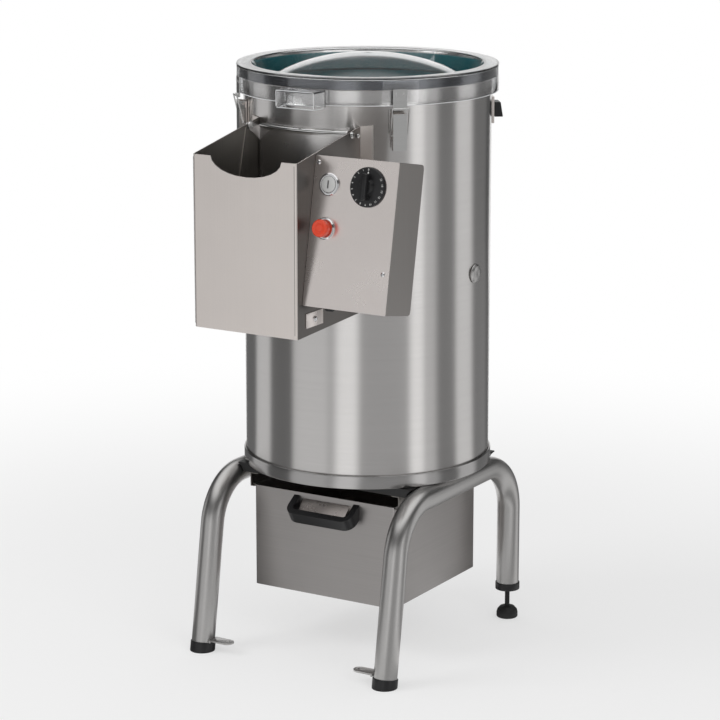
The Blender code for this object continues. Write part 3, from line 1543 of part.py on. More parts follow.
def make_door(pivot_hole, place):
    inner = DRUM_RADIUS + DOOR_GAP
    ear_outer = CHUTE_HALF_WIDTH - SHEET * 2 - RUN_GAP
    half_angle = math.asin(ear_outer / (inner + SHEET))
    plate_section = [
        (inner, DOOR_TOP), (inner + SHEET, DOOR_TOP), (inner + SHEET, DOOR_BOTTOM), (inner, DOOR_BOTTOM),
    ]
    door = swept("outlet_door", plate_section, -half_angle, half_angle, "polished_steel", 10, **place)
    roll_middle = inner + DOOR_ROLL_RADIUS - RUN_GAP
    roll_section = arc((roll_middle, DOOR_TOP - RUN_GAP), DOOR_ROLL_RADIUS, 0, -math.pi * 5 / 3, 5)
    roll_angle = math.asin(DOOR_ROLL_HALF_WIDTH / roll_middle)
    roll = swept("door_roll", roll_section, -roll_angle, roll_angle, None, 8)
    fuse(door, roll)
    rear = -math.sqrt((inner + SHEET / 2) ** 2 - ear_outer**2)
    round_ear = arc(
        (-DOOR_PIVOT_REACH, DOOR_PIVOT_HEIGHT), DOOR_EAR_ROUND, math.pi / 2, math.pi * 3 / 2, 6
    )
    ear_loop = [(rear, DOOR_EAR_LOW), (rear, DOOR_TOP), *round_ear]
    for side, name in SIDES:
        ear = outline(
            f"door_ear_{name}",
            ear_loop,
            DOOR_EAR,
            None,
            at=(side * (ear_outer - DOOR_EAR / 2), 0, 0),
            rotation=SIDEWAYS,
        )
        fuse(door, ear)
        head = CHUTE_HALF_WIDTH + SEAT_GAP
        turned(
            f"door_bolt_{name}",
            [
                (0, head + DOOR_BOLT_HEIGHT),
                (DOOR_BOLT_HEAD * 2 / 3, head + DOOR_BOLT_HEIGHT),
                (DOOR_BOLT_HEAD, head + DOOR_BOLT_HEIGHT / 2),
                (DOOR_BOLT_HEAD, head),
                (DOOR_PIN_RADIUS, head),
                (DOOR_PIN_RADIUS, ear_outer - DOOR_EAR * 2),
                (0, ear_outer - DOOR_EAR * 2),
            ],
            "polished_steel",
            SMALL_STEPS,
            at=(0, -DOOR_PIVOT_REACH, DOOR_PIVOT_HEIGHT),
            rotation=(0, side * math.pi / 2, 0),
        )
    cut(door, pivot_hole)


# Control box, tilted back on the chute's right wall
BOX_DEPTH = 0.0755
BOX_ROUND = 0.006
PANEL_STANDOFF = 0.1069
PANEL_DROP = 0.0222
PANEL_TOP_REACH = DRUM_RADIUS + PANEL_STANDOFF
PANEL_TOP_HEIGHT = CHUTE_REAR_TOP - PANEL_DROP
START_U = 0.0284
START_V = 0.0423
STOP_U = 0.0276
STOP_V = 0.1087
KNOB_U = 0.0959
KNOB_V = 0.0407
BARREL_RADIUS = 0.0140
BARREL_LENGTH = 0.030
BUTTON_BORE = 0.0124
BUTTON_WEB = 0.012
STEM_RADIUS = 0.006
START_BEZEL_RADIUS = 0.0175
STOP_BEZEL_RADIUS = 0.0168
BEZEL_HEIGHT = 0.004
BEZEL_CHAMFER = 0.002
START_CAP_HEIGHT = 0.0045
STOP_CAP_HEIGHT = 0.018
STOP_CAP_RADIUS = 0.0132
STOP_CAP_LIFT = 0.0046
KNOB_RADIUS = 0.0302
KNOB_LIFT = 0.001
KNOB_DIAL = 0.003
KNOB_HUB_RADIUS = 0.013
KNOB_HUB_HEIGHT = 0.006
KNOB_GRIP_LENGTH = 0.040
KNOB_GRIP_WIDTH = 0.010
KNOB_GRIP_HEIGHT = 0.013
KNOB_STEM = 0.003
KNOB_STEM_LENGTH = 0.018
TIMER_SIZE = 0.048
TIMER_DEPTH = 0.034
GLAND_U = 0.026
GLAND_DEPTH = 0.038
GLAND_RADIUS = 0.0065
GLAND_BORE = 0.0035
GLAND_FLANGE = 0.0085
GLAND_LENGTH = 0.006


def on_panel(u, v):
    return {"at": (u, 0, -v), "rotation": FORWARD, "parent": PANEL}


def make_control_box(conduit):
    box_front = SHEET + SEAT_GAP
    box = block(
        "control_box",
        (0, box_front, -PANEL_HEIGHT),
        (PANEL_WIDTH, BOX_DEPTH, 0),
        "brushed_steel",
        open_side=(0, -1, 0),
        parent=PANEL,
    )
    soften(box, BOX_ROUND, axis=(1, 0, 0))
    thicken(box, SHEET)
    gland_place = {"at": (GLAND_U, GLAND_DEPTH, -PANEL_HEIGHT), "rotation": DOWNWARD, "parent": PANEL}
    gland_hole = round_hole(
        "gland_hole", GLAND_RADIUS + SEAT_GAP, -OVERRUN, OVERRUN, **gland_place
    )
    cut(box, conduit, gland_hole)
    turned(
        "cable_gland",
        [
            (GLAND_BORE, GLAND_LENGTH),
            (GLAND_RADIUS, GLAND_LENGTH),
            (GLAND_FLANGE, GLAND_LENGTH / 2),
            (GLAND_FLANGE, SEAT_GAP),
            (GLAND_RADIUS, SEAT_GAP),
            (GLAND_RADIUS, -GLAND_LENGTH / 2),
            (GLAND_BORE, -GLAND_LENGTH / 2),
        ],
        "black_plastic",
        SMALL_STEPS,
        **gland_place,
    )

    panel = block(
        "control_panel", (0, 0, -PANEL_HEIGHT), (PANEL_WIDTH, SHEET, 0), "brushed_steel", parent=PANEL
    )
    soften(panel, SHEET, axis=(0, 1, 0))
    holes = (
        ("start_hole", START_U, START_V, BARREL_RADIUS),
        ("stop_hole", STOP_U, STOP_V, BARREL_RADIUS),
        ("timer_hole", KNOB_U, KNOB_V, KNOB_STEM + RUN_GAP),
    )
    for name, u, v, radius in holes:
        hole = round_hole(name, radius + SEAT_GAP, -OVERRUN, OVERRUN, SHAFT_STEPS, **on_panel(u, v))
        cut(panel, hole)


def make_button(name, u, v, bezel_radius, cap_section, look):
    """A chromed bezel with its barrel behind the panel, and the button that slides in it."""
    turned(
        f"{name}_bezel",
        [
            (BUTTON_BORE + SEAT_GAP, BEZEL_HEIGHT),
            (bezel_radius - BEZEL_CHAMFER, BEZEL_HEIGHT),
            (bezel_radius, BEZEL_HEIGHT - BEZEL_CHAMFER),
            (bezel_radius, SEAT_GAP),
            (BARREL_RADIUS, SEAT_GAP),
            (BARREL_RADIUS, -BARREL_LENGTH),
            (STEM_RADIUS + SEAT_GAP, -BARREL_LENGTH),
            (STEM_RADIUS + SEAT_GAP, -BUTTON_WEB),
            (BUTTON_BORE + SEAT_GAP, -BUTTON_WEB),
        ],
        "chrome",
        **on_panel(u, v),
    )
    plunger = -BUTTON_WEB + BEZEL_HEIGHT + BEZEL_CHAMFER
    turned(
        f"{name}_button",
        [
            *cap_section,
            (BUTTON_BORE, plunger),
            (STEM_RADIUS, plunger),
            (STEM_RADIUS, -BARREL_LENGTH),
            (0, -BARREL_LENGTH),
        ],
        look,
        **on_panel(u, v),
    )


def make_controls():
    rounding = BEZEL_CHAMFER / 2
    start_cap = [
        (0, START_CAP_HEIGHT),
        (BUTTON_BORE - rounding, START_CAP_HEIGHT),
        (BUTTON_BORE, START_CAP_HEIGHT - rounding),
    ]
    make_button("start", START_U, START_V, START_BEZEL_RADIUS, start_cap, "white_plastic")
    stop_cap = [
        (0, STOP_CAP_HEIGHT),
        (STOP_CAP_RADIUS - BEZEL_CHAMFER, STOP_CAP_HEIGHT),
        (STOP_CAP_RADIUS, STOP_CAP_HEIGHT - BEZEL_CHAMFER),
        (STOP_CAP_RADIUS, BEZEL_HEIGHT + STOP_CAP_LIFT),
        (BUTTON_BORE, BEZEL_HEIGHT + STOP_CAP_LIFT),
    ]
    make_button("stop", STOP_U, STOP_V, STOP_BEZEL_RADIUS, stop_cap, "red_plastic")

    knob_place = on_panel(KNOB_U, KNOB_V)
    dial_top = KNOB_LIFT + KNOB_DIAL
    knob = turned(
        "timer_knob",
        [
            (0, dial_top + KNOB_HUB_HEIGHT),
            (KNOB_HUB_RADIUS - BEZEL_CHAMFER, dial_top + KNOB_HUB_HEIGHT),
            (KNOB_HUB_RADIUS, dial_top),
            (KNOB_RADIUS - BEZEL_CHAMFER, dial_top),
            (KNOB_RADIUS, dial_top - BEZEL_CHAMFER),
            (KNOB_RADIUS, KNOB_LIFT),
            (KNOB_STEM, KNOB_LIFT),
            (KNOB_STEM, -KNOB_STEM_LENGTH),
            (0, -KNOB_STEM_LENGTH),
        ],
        "black_plastic",
        SHAFT_STEPS,
        **knob_place,
    )
    half_length, half_width = KNOB_GRIP_LENGTH / 2, KNOB_GRIP_WIDTH / 2
    grip = block(
        "knob_grip",
        (-half_width, -half_length, dial_top - KNOB_DIAL / 2),
        (half_width, half_length, dial_top + KNOB_GRIP_HEIGHT),
        None,
        **knob_place,
    )
    soften(grip, BEZEL_CHAMFER)
    fuse(knob, grip)

    half = TIMER_SIZE / 2
    timer_front = -SHEET - SEAT_GAP
    timer = block(
        "timer_body",
        (-half, -half, timer_front - TIMER_DEPTH),
        (half, half, timer_front),
        "black_plastic",
        **knob_place,
    )
    bore = round_hole(
        "timer_bore", KNOB_STEM + SEAT_GAP, -KNOB_STEM_LENGTH - RUN_GAP, OVERRUN, **knob_place
    )
    cut(timer, bore)


# The world origin lies on the floor under the middle of the whole machine
SIDES = ((-1, "left"), (1, "right"))
LEFT_REACH = LID_RADIUS
RIGHT_REACH = CHUTE_HALF_WIDTH + SEAT_GAP + PANEL_WIDTH
REAR_REACH = DRUM_RADIUS + INLET_REACH
CENTRE_X = (RIGHT_REACH - LEFT_REACH) / 2
CENTRE_Y = (REAR_REACH - CHUTE_REACH) / 2

clear_scene()
PARTS = new_collection("potato_peeler")
HELPERS = new_collection("cutters", helper=True)
MACHINE = new_empty("machine", (-CENTRE_X, -CENTRE_Y, 0))
PANEL = new_empty(
    "panel_frame",
    (CHUTE_HALF_WIDTH + SEAT_GAP, -PANEL_TOP_REACH, PANEL_TOP_HEIGHT),
    (-PANEL_TILT, 0, 0),
    MACHINE,
)
for stand_side, stand_name in SIDES:
    make_stand_side(stand_side, stand_name)
make_cross_bars()
make_runners()
make_drawer()
make_screen()
make_drawer_handle()
make_base_pan()
opening_cut, plug_cut, inlet_cut, conduit_cut = side_cutters()
make_drum(opening_cut, plug_cut, inlet_cut, conduit_cut)
make_disc()
make_drive()
make_side_fittings()
lid_axis = on_axis("lid_axis", (0, HINGE_Y, HINGE_Z))
make_lid(lid_axis)
make_lid_hinge(lid_axis)
make_sensor()
for latch_side, latch_name in SIDES:
    make_latch(latch_side, latch_name, lid_axis)
door_axis = on_axis("door_axis", (0, -DOOR_PIVOT_REACH, DOOR_PIVOT_HEIGHT))
make_door(make_chute(), door_axis)
make_control_box(conduit_cut)
make_controls()
finish_parts()
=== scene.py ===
# %% [markdown]
# # Dressing a potato peeler
#
# The machine is a steel drum on a tube stand. Potatoes go in under a clear lid, a rough disc spins
# them against a rough wall, and they leave through a door into the chute at the front.
#
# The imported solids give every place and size, so this script only makes finer pieces around them and
# gives each one its finish. Lengths are in metres, +Z is up, and -Y is where the user stands.

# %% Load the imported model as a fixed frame
import json
from math import asin, cos, pi, radians, sin, tan

import bmesh
import bpy
from mathutils import Matrix, Vector

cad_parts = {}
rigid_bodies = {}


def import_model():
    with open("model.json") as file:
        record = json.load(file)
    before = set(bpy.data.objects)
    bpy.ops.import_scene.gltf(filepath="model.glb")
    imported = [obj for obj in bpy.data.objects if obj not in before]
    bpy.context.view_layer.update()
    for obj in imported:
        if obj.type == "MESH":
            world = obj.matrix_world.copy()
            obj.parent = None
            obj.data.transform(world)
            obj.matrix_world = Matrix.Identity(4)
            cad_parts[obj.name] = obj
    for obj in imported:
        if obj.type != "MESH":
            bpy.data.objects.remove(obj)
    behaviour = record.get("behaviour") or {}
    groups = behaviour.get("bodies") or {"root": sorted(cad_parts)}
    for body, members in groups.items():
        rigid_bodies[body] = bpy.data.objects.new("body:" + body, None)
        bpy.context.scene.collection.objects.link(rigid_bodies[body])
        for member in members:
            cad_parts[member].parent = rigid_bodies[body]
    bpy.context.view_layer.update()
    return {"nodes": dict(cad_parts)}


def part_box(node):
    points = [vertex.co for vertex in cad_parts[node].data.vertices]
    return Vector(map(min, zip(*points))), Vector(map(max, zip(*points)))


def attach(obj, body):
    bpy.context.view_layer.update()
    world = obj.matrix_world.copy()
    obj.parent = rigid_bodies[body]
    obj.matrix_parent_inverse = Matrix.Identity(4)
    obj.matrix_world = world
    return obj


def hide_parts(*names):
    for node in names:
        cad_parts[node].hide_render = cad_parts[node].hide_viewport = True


for startup_object in list(bpy.data.objects):
    bpy.data.objects.remove(startup_object)

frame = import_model()
scene = bpy.context.scene
show = scene.collection.objects.link

# %% [markdown]
# Nearly everything on this machine stands around two lines: the drum's axis, and the tilted plane of
# the control panel. Both are read from the solids, so that a changed model.glb moves the pieces with it.

# %% Places that the solids give
SHEET = 0.0015
GAP = 0.0003
DRUM_WALL = 0.002
BEAD_REACH = 0.004
PANEL_TILT = radians(10.5)


def middle_of(node):
    low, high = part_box(node)
    return (low + high) / 2


def half_width(node):
    """Half the size in X, which is the radius of a round piece."""
    low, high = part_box(node)
    return (high.x - low.x) / 2


def round_turn(steps):
    """Angles of a full turn in equal steps."""
    return [2 * pi * step / steps for step in range(steps)]


AXIS = middle_of("outer_casing")
AXIS.z = 0
DRUM_LOW, DRUM_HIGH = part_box("outer_casing")
BEAD_RADIUS = half_width("outer_casing")
DRUM_RADIUS = BEAD_RADIUS - BEAD_REACH
PANEL_LOW, PANEL_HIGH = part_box("control_panel")
PANEL_CORNER = Vector((PANEL_LOW.x, PANEL_HIGH.y - SHEET * cos(PANEL_TILT), PANEL_HIGH.z))

ON_AXIS = Matrix.Translation(AXIS)
ON_PANEL = Matrix.Translation(PANEL_CORNER) @ Matrix.Rotation(-PANEL_TILT, 4, "X")
FACING_USER = Matrix.Rotation(pi / 2, 4, "X")
print("drum radius", round(DRUM_RADIUS, 4), "panel corner", PANEL_CORNER)

# %% [markdown]
# ## Camera
#
# The photograph was taken from a little above and to the machine's right, with a long lens. A fit of
# the drum's rim, the panel's corners and the feet gave this place and focal length.

# %% The camera at the photograph's viewing angle
CAMERA_PLACE = (2.25155, -3.7118, 1.5111)
CAMERA_PITCH = radians(13.404)
CAMERA_TURN = radians(31.153)
CAMERA_LENS = 137.43

camera_data = bpy.data.cameras.new("camera")
camera_data.lens = CAMERA_LENS
camera_data.sensor_width = 36
camera = bpy.data.objects.new("camera", camera_data)
camera.location = CAMERA_PLACE
camera.rotation_euler = (pi / 2 - CAMERA_PITCH, 0, CAMERA_TURN)
show(camera)
scene.camera = camera
scene.view_settings.view_transform = "Standard"
print("camera at", CAMERA_PLACE)

# %% [markdown]
# ## Studio
#
# Brushed steel has hardly any colour of its own: it shows what stands around it. A product studio
# puts tall softboxes and dark flags round the machine, and the drum turns them into the upright
# bands that make it read as a steel cylinder. Here the bands are part of the world, and only glossy
# rays see them. Above the softboxes the studio is dark up to the light on its ceiling, so the clear
# dome shows what is under it. Matt surfaces get an even light, and the camera sees plain white.

# %% A small toolkit for shader nodes


def add_node(tree, kind, **settings):
    node = tree.nodes.new("ShaderNode" + kind)
    for name, value in settings.items():
        setattr(node, name, value)
    return node


def feed(socket, value):
    """Links another socket's output into a socket, or writes a plain value on it."""
    if isinstance(value, bpy.types.NodeSocket):
        socket.id_data.links.new(value, socket)
    else:
        socket.default_value = value


def feed_all(node, *values):
    """Feeds a node's first sockets in their order. Returns what the node gives."""
    for socket, value in zip(node.inputs, values):
        feed(socket, value)
    return node.outputs[0]


def math_node(tree, operation, *values, clamp=False):
    return feed_all(add_node(tree, "Math", operation=operation, use_clamp=clamp), *values)


def remap(tree, value, low, high, new_low, new_high, smooth=False):
    node = add_node(tree, "MapRange", interpolation_type="SMOOTHSTEP" if smooth else "LINEAR")
    return feed_all(node, value, low, high, new_low, new_high)


def mix_colour(tree, share, first, second, blend="MIX"):
    node = add_node(tree, "Mix", data_type="RGBA", blend_type=blend)
    feed(node.inputs["Factor"], share)
    feed(node.inputs[6], first)
    feed(node.inputs[7], second)
    return node.outputs[2]


def grey(level):
    return (level, level, level, 1)


def new_group(name, inputs, outputs):
    """A shader node group with named sockets. Returns its tree and its two end nodes."""
    tree = bpy.data.node_groups.new(name, "ShaderNodeTree")
    for end, sockets in (("INPUT", inputs), ("OUTPUT", outputs)):
        for label, kind in sockets:
            tree.interface.new_socket(label, in_out=end, socket_type=kind)
    return tree, tree.nodes.new("NodeGroupInput"), tree.nodes.new("NodeGroupOutput")


def use_group(tree, group, **values):
    node = add_node(tree, "Group", node_tree=group)
    for label, value in values.items():
        feed(node.inputs[label], value)
    return node


def new_material(name, **fixed):
    """A material with fixed values on its shader. Returns it, its tree and its shader."""
    material = bpy.data.materials.new(name)
    material.use_nodes = True
    shader = material.node_tree.nodes["Principled BSDF"]
    for label, value in fixed.items():
        feed(shader.inputs[label.replace("_", " ")], value)
    return material, material.node_tree, shader


# %% The ring of softboxes and flags, as one node group
# Each strip: where it starts and ends, in degrees round the machine from the front, and its level.
STRIPS = (
    (-166, -134, 1.0),
    (-95, -73, 0.59),
    (-40, -8, 0.60),
    (-4, -1, 0.47),
    (6, 20, 0.95),
    (27, 69, 0.37),
    (75, 84, 1.0),
    (87, 96, 0.56),
    (102, 119, 0.18),
    (124, 142, 0.71),
    (150, 175, 0.18),
)
FLAG_LEVEL = 0.09
STRIP_EDGE = 4
FULL_TURN = 360

strips_tree, strips_in, strips_out = new_group(
    "Studio strips", [("Direction", "NodeSocketVector")], [("Color", "NodeSocketColor")]
)
direction = add_node(strips_tree, "SeparateXYZ")
feed(direction.inputs[0], strips_in.outputs["Direction"])
toward_user = math_node(strips_tree, "MULTIPLY", direction.outputs["Y"], -1.0)
bearing = math_node(strips_tree, "ARCTAN2", direction.outputs["X"], toward_user)
share_of_turn = remap(strips_tree, bearing, -pi, pi, 0, 1)
strips_ramp = add_node(strips_tree, "ValToRGB")
feed(strips_ramp.inputs[0], share_of_turn)

stops = []
for begin, end, level in STRIPS:
    if not stops or begin - stops[-1][0] > 2 * STRIP_EDGE:
        stops.append((begin - STRIP_EDGE, FLAG_LEVEL))
    stops += [(begin, level), (end, level)]
    following = [strip[0] for strip in STRIPS if strip[0] > end]
    if not following or following[0] - end > 2 * STRIP_EDGE:
        stops.append((end + STRIP_EDGE, FLAG_LEVEL))
elements = strips_ramp.color_ramp.elements
for degrees, level in stops:
    element = elements.new(degrees / FULL_TURN + 0.5)
    element.color = grey(level)
elements[0].color = grey(FLAG_LEVEL)
elements[-1].color = grey(FLAG_LEVEL)
feed(strips_out.inputs["Color"], strips_ramp.outputs["Color"])
print("studio strips use", len(elements), "ramp stops")

# %% Which rays see the plain white, and which see the studio


def plain_rays(tree):
    """1 for a ray that comes straight from the camera, or from it through the clear lid alone."""
    path = add_node(tree, "LightPath").outputs
    bounces = math_node(tree, "ADD", path["Glossy Depth"], path["Diffuse Depth"])
    unbounced = math_node(tree, "LESS_THAN", bounces, 0.5)
    through_lid = math_node(tree, "MULTIPLY", path["Is Transmission Ray"], unbounced)
    return math_node(tree, "MAXIMUM", path["Is Camera Ray"], through_lid)


def gloss_rays(tree):
    """1 for a ray that left a shiny surface, also one that then passed through the clear lid."""
    path = add_node(tree, "LightPath").outputs
    shiny = math_node(tree, "MAXIMUM", path["Is Glossy Ray"], path["Is Transmission Ray"])
    matt_before = math_node(tree, "GREATER_THAN", path["Diffuse Depth"], 0.5)
    return math_node(tree, "MULTIPLY", shiny, math_node(tree, "SUBTRACT", 1.0, matt_before))


# %% The world: white for the camera, bands for gloss, an even level for matt surfaces
MATT_LEVEL = 0.62
CEILING_LEVEL = 1.0
CEILING_STARTS = 0.60
CEILING_FULL = 0.78
STRIP_TOP_STARTS = 0.235
STRIP_TOP_ENDS = 0.33
ABOVE_STRIPS = 0.14

world = bpy.data.worlds.new("studio")
scene.world = world
world.use_nodes = True
sky = world.node_tree
sky.nodes.clear()
toward = add_node(sky, "TexCoord").outputs["Generated"]
bands = use_group(sky, strips_tree, Direction=toward).outputs["Color"]
height = add_node(sky, "SeparateXYZ")
feed(height.inputs[0], toward)
overhead = remap(sky, height.outputs["Z"], CEILING_STARTS, CEILING_FULL, 0, 1, smooth=True)
dimmed = remap(sky, height.outputs["Z"], STRIP_TOP_STARTS, STRIP_TOP_ENDS, 1, ABOVE_STRIPS, smooth=True)
bands = mix_colour(sky, 1.0, bands, dimmed, blend="MULTIPLY")
seen_by_gloss = mix_colour(sky, overhead, bands, grey(CEILING_LEVEL))
level = mix_colour(sky, gloss_rays(sky), grey(MATT_LEVEL), seen_by_gloss)
level = mix_colour(sky, plain_rays(sky), level, grey(1.0))
background = add_node(sky, "Background")
feed(background.inputs["Color"], level)
feed(add_node(sky, "OutputWorld").inputs["Surface"], background.outputs[0])
print("world:", len(sky.nodes), "nodes")

# %% The floor keeps the machine's shadow and fades into the white behind
FLOOR_RADIUS = 2.6
FLOOR_SIDES = 96
SHADOW_NEAR = 0.46
FADE_START = 0.6
FADE_END = 2.08
FLOOR_PAINT = 0.86
BANDS_ON_FLOOR = 0.9

floor_mesh = bpy.data.meshes.new("floor")
turns = round_turn(FLOOR_SIDES)
rim = [(FLOOR_RADIUS * cos(turn), FLOOR_RADIUS * sin(turn), 0) for turn in turns]
floor_mesh.from_pydata(rim, [], [list(range(FLOOR_SIDES))])
floor = bpy.data.objects.new("floor", floor_mesh)
show(floor)

floor_material, tree, paint = new_material(
    "floor", Base_Color=grey(FLOOR_PAINT), Roughness=0.9, Specular_IOR_Level=0.1
)
place_on_floor = add_node(tree, "NewGeometry").outputs["Position"]
distance = add_node(tree, "VectorMath", operation="LENGTH")
feed(distance.inputs[0], place_on_floor)
fade = remap(tree, distance.outputs["Value"], FADE_START, FADE_END, 1 - SHADOW_NEAR, 1, smooth=True)
plain_view = plain_rays(tree)
reflected = math_node(tree, "MULTIPLY", gloss_rays(tree), math_node(tree, "SUBTRACT", 1.0, plain_view))
glow = add_node(tree, "Emission")
floor_bands = use_group(tree, strips_tree, Direction=place_on_floor).outputs["Color"]
feed(glow.inputs["Color"], mix_colour(tree, reflected, grey(1.0), floor_bands))
reflected_share = math_node(tree, "MULTIPLY", reflected, BANDS_ON_FLOOR)
share = math_node(tree, "ADD", math_node(tree, "MULTIPLY", plain_view, fade), reflected_share, clamp=True)
blend = feed_all(add_node(tree, "MixShader"), share, paint.outputs[0], glow.outputs[0])
feed(tree.nodes["Material Output"].inputs["Surface"], blend)
floor_mesh.materials.append(floor_material)
print("floor radius", FLOOR_RADIUS)

# %% Two soft lamps give the matt pieces their shape
LAMP_TARGET = Vector((0, 0, 0.55))
LAMPS = (
    ("key", (-2.2, -2.4, 2.9), 1.8, 42.0),
    ("fill", (2.8, -1.6, 2.2), 2.0, 20.0),
)
for name, place, size, power in LAMPS:
    lamp_data = bpy.data.lights.new(name, "AREA")
    lamp_data.size = size
    lamp_data.energy = power
    lamp = bpy.data.objects.new(name, lamp_data)
    lamp.location = place
    lamp.rotation_euler = (LAMP_TARGET - lamp.location).to_track_quat("-Z", "Y").to_euler()
    lamp.visible_glossy = False
    show(lamp)
print(len(LAMPS), "lamps")

# %% [markdown]
# ## Finishes
#
# Each finish is worn metal, moulded plastic or rubber. The marks that vary over a piece, such as
# brush lines, cloudiness and dust, are made once in four node groups, and every material feeds from
# them. Values that stay the same all over a piece are written on the shader itself.

# %% Surface marks that many materials share


def noise(tree, where, scale, detail, roughness, stretch=None):
    """Fractal noise, stretched along the axes where stretch is given."""
    if stretch is not None:
        mapping = add_node(tree, "Mapping")
        feed(mapping.inputs["Vector"], where)
        feed(mapping.inputs["Scale"], stretch)
        where = mapping.outputs[0]
    node = add_node(tree, "TexNoise")
    feed(node.inputs["Vector"], where)
    feed(node.inputs["Scale"], scale)
    feed(node.inputs["Detail"], detail)
    feed(node.inputs["Roughness"], roughness)
    return node.outputs[0]


LINES_ALONG = 3.0
LINES_ACROSS = 900.0
CLOUD_SCALE = 7.0
SMUDGE_SCALE = 38.0
GRIT_SCALE = 1400.0
SPECK_SCALE = 350.0
SPECK_RANGE = (0.05, 0.35)


def brushed_marks(name, stretch):
    """Brush lines along one direction, with broad clouds where the sheet was handled."""
    tree, _, out = new_group(name, [], [(mark, "NodeSocketFloat") for mark in ("Lines", "Clouds", "Smudges")])
    where = add_node(tree, "TexCoord").outputs["Object"]
    feed(out.inputs["Lines"], noise(tree, where, 1.0, 4.0, 0.6, stretch))
    feed(out.inputs["Clouds"], noise(tree, where, CLOUD_SCALE, 2.0, 0.5))
    feed(out.inputs["Smudges"], noise(tree, where, SMUDGE_SCALE, 5.0, 0.6))
    return tree


lines_upright = brushed_marks("Brushed upright", (LINES_ACROSS, LINES_ACROSS, LINES_ALONG))
lines_level = brushed_marks("Brushed level", (LINES_ALONG, LINES_ALONG, LINES_ACROSS))
lines_sideways = brushed_marks("Brushed front to back", (LINES_ACROSS, LINES_ALONG, LINES_ACROSS))

GRIT_MARKS = [(mark, "NodeSocketFloat") for mark in ("Grit", "Specks", "Clouds")]
grit_tree, _, grit_out = new_group("Grit", [], GRIT_MARKS)
where = add_node(grit_tree, "TexCoord").outputs["Object"]
cells = add_node(grit_tree, "TexVoronoi")
feed(cells.inputs["Vector"], where)
feed(cells.inputs["Scale"], SPECK_SCALE)
feed(grit_out.inputs["Specks"], remap(grit_tree, cells.outputs["Distance"], *SPECK_RANGE, 1, 0))
feed(grit_out.inputs["Grit"], noise(grit_tree, where, GRIT_SCALE, 2.0, 0.6))
feed(grit_out.inputs["Clouds"], noise(grit_tree, where, CLOUD_SCALE, 3.0, 0.5))
print("node groups:", ", ".join(group.name for group in bpy.data.node_groups))

# %% Steel sheet, drum and tube
BUMP_DISTANCE = 0.0002
LINE_RANGE = (0.35, 0.65)


def add_bump(tree, shader, height, strength, distance=BUMP_DISTANCE):
    bump = add_node(tree, "Bump")
    feed(bump.inputs["Strength"], strength)
    feed(bump.inputs["Distance"], distance)
    feed(bump.inputs["Height"], height)
    feed(shader.inputs["Normal"], bump.outputs[0])


looks = {}


def new_look(look, label=None, **fixed):
    """Keeps a new material among the looks. Returns its tree and its shader."""
    looks[look], tree, shader = new_material(label or look.replace("_", " "), **fixed)
    return tree, shader


def metal(look, colour, roughness, marks, spread=0.05, contrast=0.05, bump=0.03, **fixed):
    """Metal whose brush lines and handling clouds change its shade and sheen a little."""
    tree, shader = new_look(look, Metallic=1.0, **fixed)
    mark = use_group(tree, marks).outputs
    base = (*colour, 1)
    darker = tuple(channel * (1 - contrast) for channel in colour) + (1,)
    lines = remap(tree, mark["Lines"], *LINE_RANGE, 0, 1)
    feed(shader.inputs["Base Color"], mix_colour(tree, lines, darker, base))
    cloud = math_node(tree, "MULTIPLY_ADD", mark["Clouds"], 2 * spread, roughness - spread)
    smudged = math_node(tree, "MULTIPLY_ADD", mark["Smudges"], spread, cloud)
    feed(shader.inputs["Roughness"], math_node(tree, "SUBTRACT", smudged, spread / 2))
    add_bump(tree, shader, mark["Lines"], bump)


ROUND_THE_DRUM = 0.25


def brushed_round(look, colour, roughness, anisotropy, **settings):
    """Steel brushed round an upright axis: every light stretches into an upright band."""
    metal(
        look, colour, roughness, lines_level, Anisotropic=anisotropy, Anisotropic_Rotation=ROUND_THE_DRUM,
        **settings,
    )
    tree = looks[look].node_tree
    tangent = add_node(tree, "Tangent", direction_type="RADIAL", axis="Z")
    feed(tree.nodes["Principled BSDF"].inputs["Tangent"], tangent.outputs[0])


brushed_round("drum_steel", (0.725, 0.708, 0.697), 0.22, 0.85, spread=0.03, contrast=0.04)
brushed_round("pan_steel", (0.49, 0.48, 0.475), 0.20, 0.6, spread=0.03, contrast=0.03)
metal(
    "brushed_steel", (0.99, 0.92, 0.875), 0.30, lines_upright, contrast=0.025, bump=0.004,
    label="chute sheet",
)
metal("panel_sheet", (0.99, 0.92, 0.885), 0.28, lines_upright, contrast=0.02, bump=0.004)
# The drawer's sheet is coloured darker: painted shade under the drum.
metal("drawer_sheet_painted_shade", (0.455, 0.435, 0.425), 0.34, lines_level, contrast=0.06)
# The chute's inside walls take this darker colour as painted shade; the runners, the fold strips and the
# inner parts use it too.
metal("inner_sheet", (0.33, 0.313, 0.292), 0.40, lines_upright, contrast=0.12)
metal("tube_steel", (0.60, 0.59, 0.58), 0.33, lines_sideways, spread=0.06, contrast=0.06, label="stand tube")
metal("polished_steel", (0.82, 0.82, 0.81), 0.14, lines_level, spread=0.04)
metal("door_steel", (0.92, 0.90, 0.89), 0.26, lines_level, spread=0.05, contrast=0.06)
# The chute's right wall outside is coloured dark as a painted reflection of the shadowed gap by the control
# box.
metal("side_sheet", (0.21, 0.197, 0.188), 0.34, lines_upright, contrast=0.05, label="chute side sheet")
# The control box's sheet is coloured darker: a painted dark reflection on its side.
metal("box_sheet_painted_reflection", (0.41, 0.389, 0.374), 0.34, lines_upright, contrast=0.04)
metal("shaded_bar", (0.07, 0.07, 0.07), 0.45, lines_sideways, contrast=0.1, label="bar in the shade")
metal("chrome", (0.84, 0.84, 0.85), 0.06, lines_level, spread=0.02, contrast=0.02, bump=0.01)
print(len(looks), "metals")

# %% [markdown]
# Moulded and cast pieces have no brush lines. A fine grit in the surface breaks their highlights, and
# slow clouds change the sheen as handling does. The abrasive coat is the same idea made much coarser,
# with pale grains of carbide showing through the teal resin.

# %% Plastics, rubber, castings and the abrasive coat
DUST_RANGE = (0.45, 0.75)


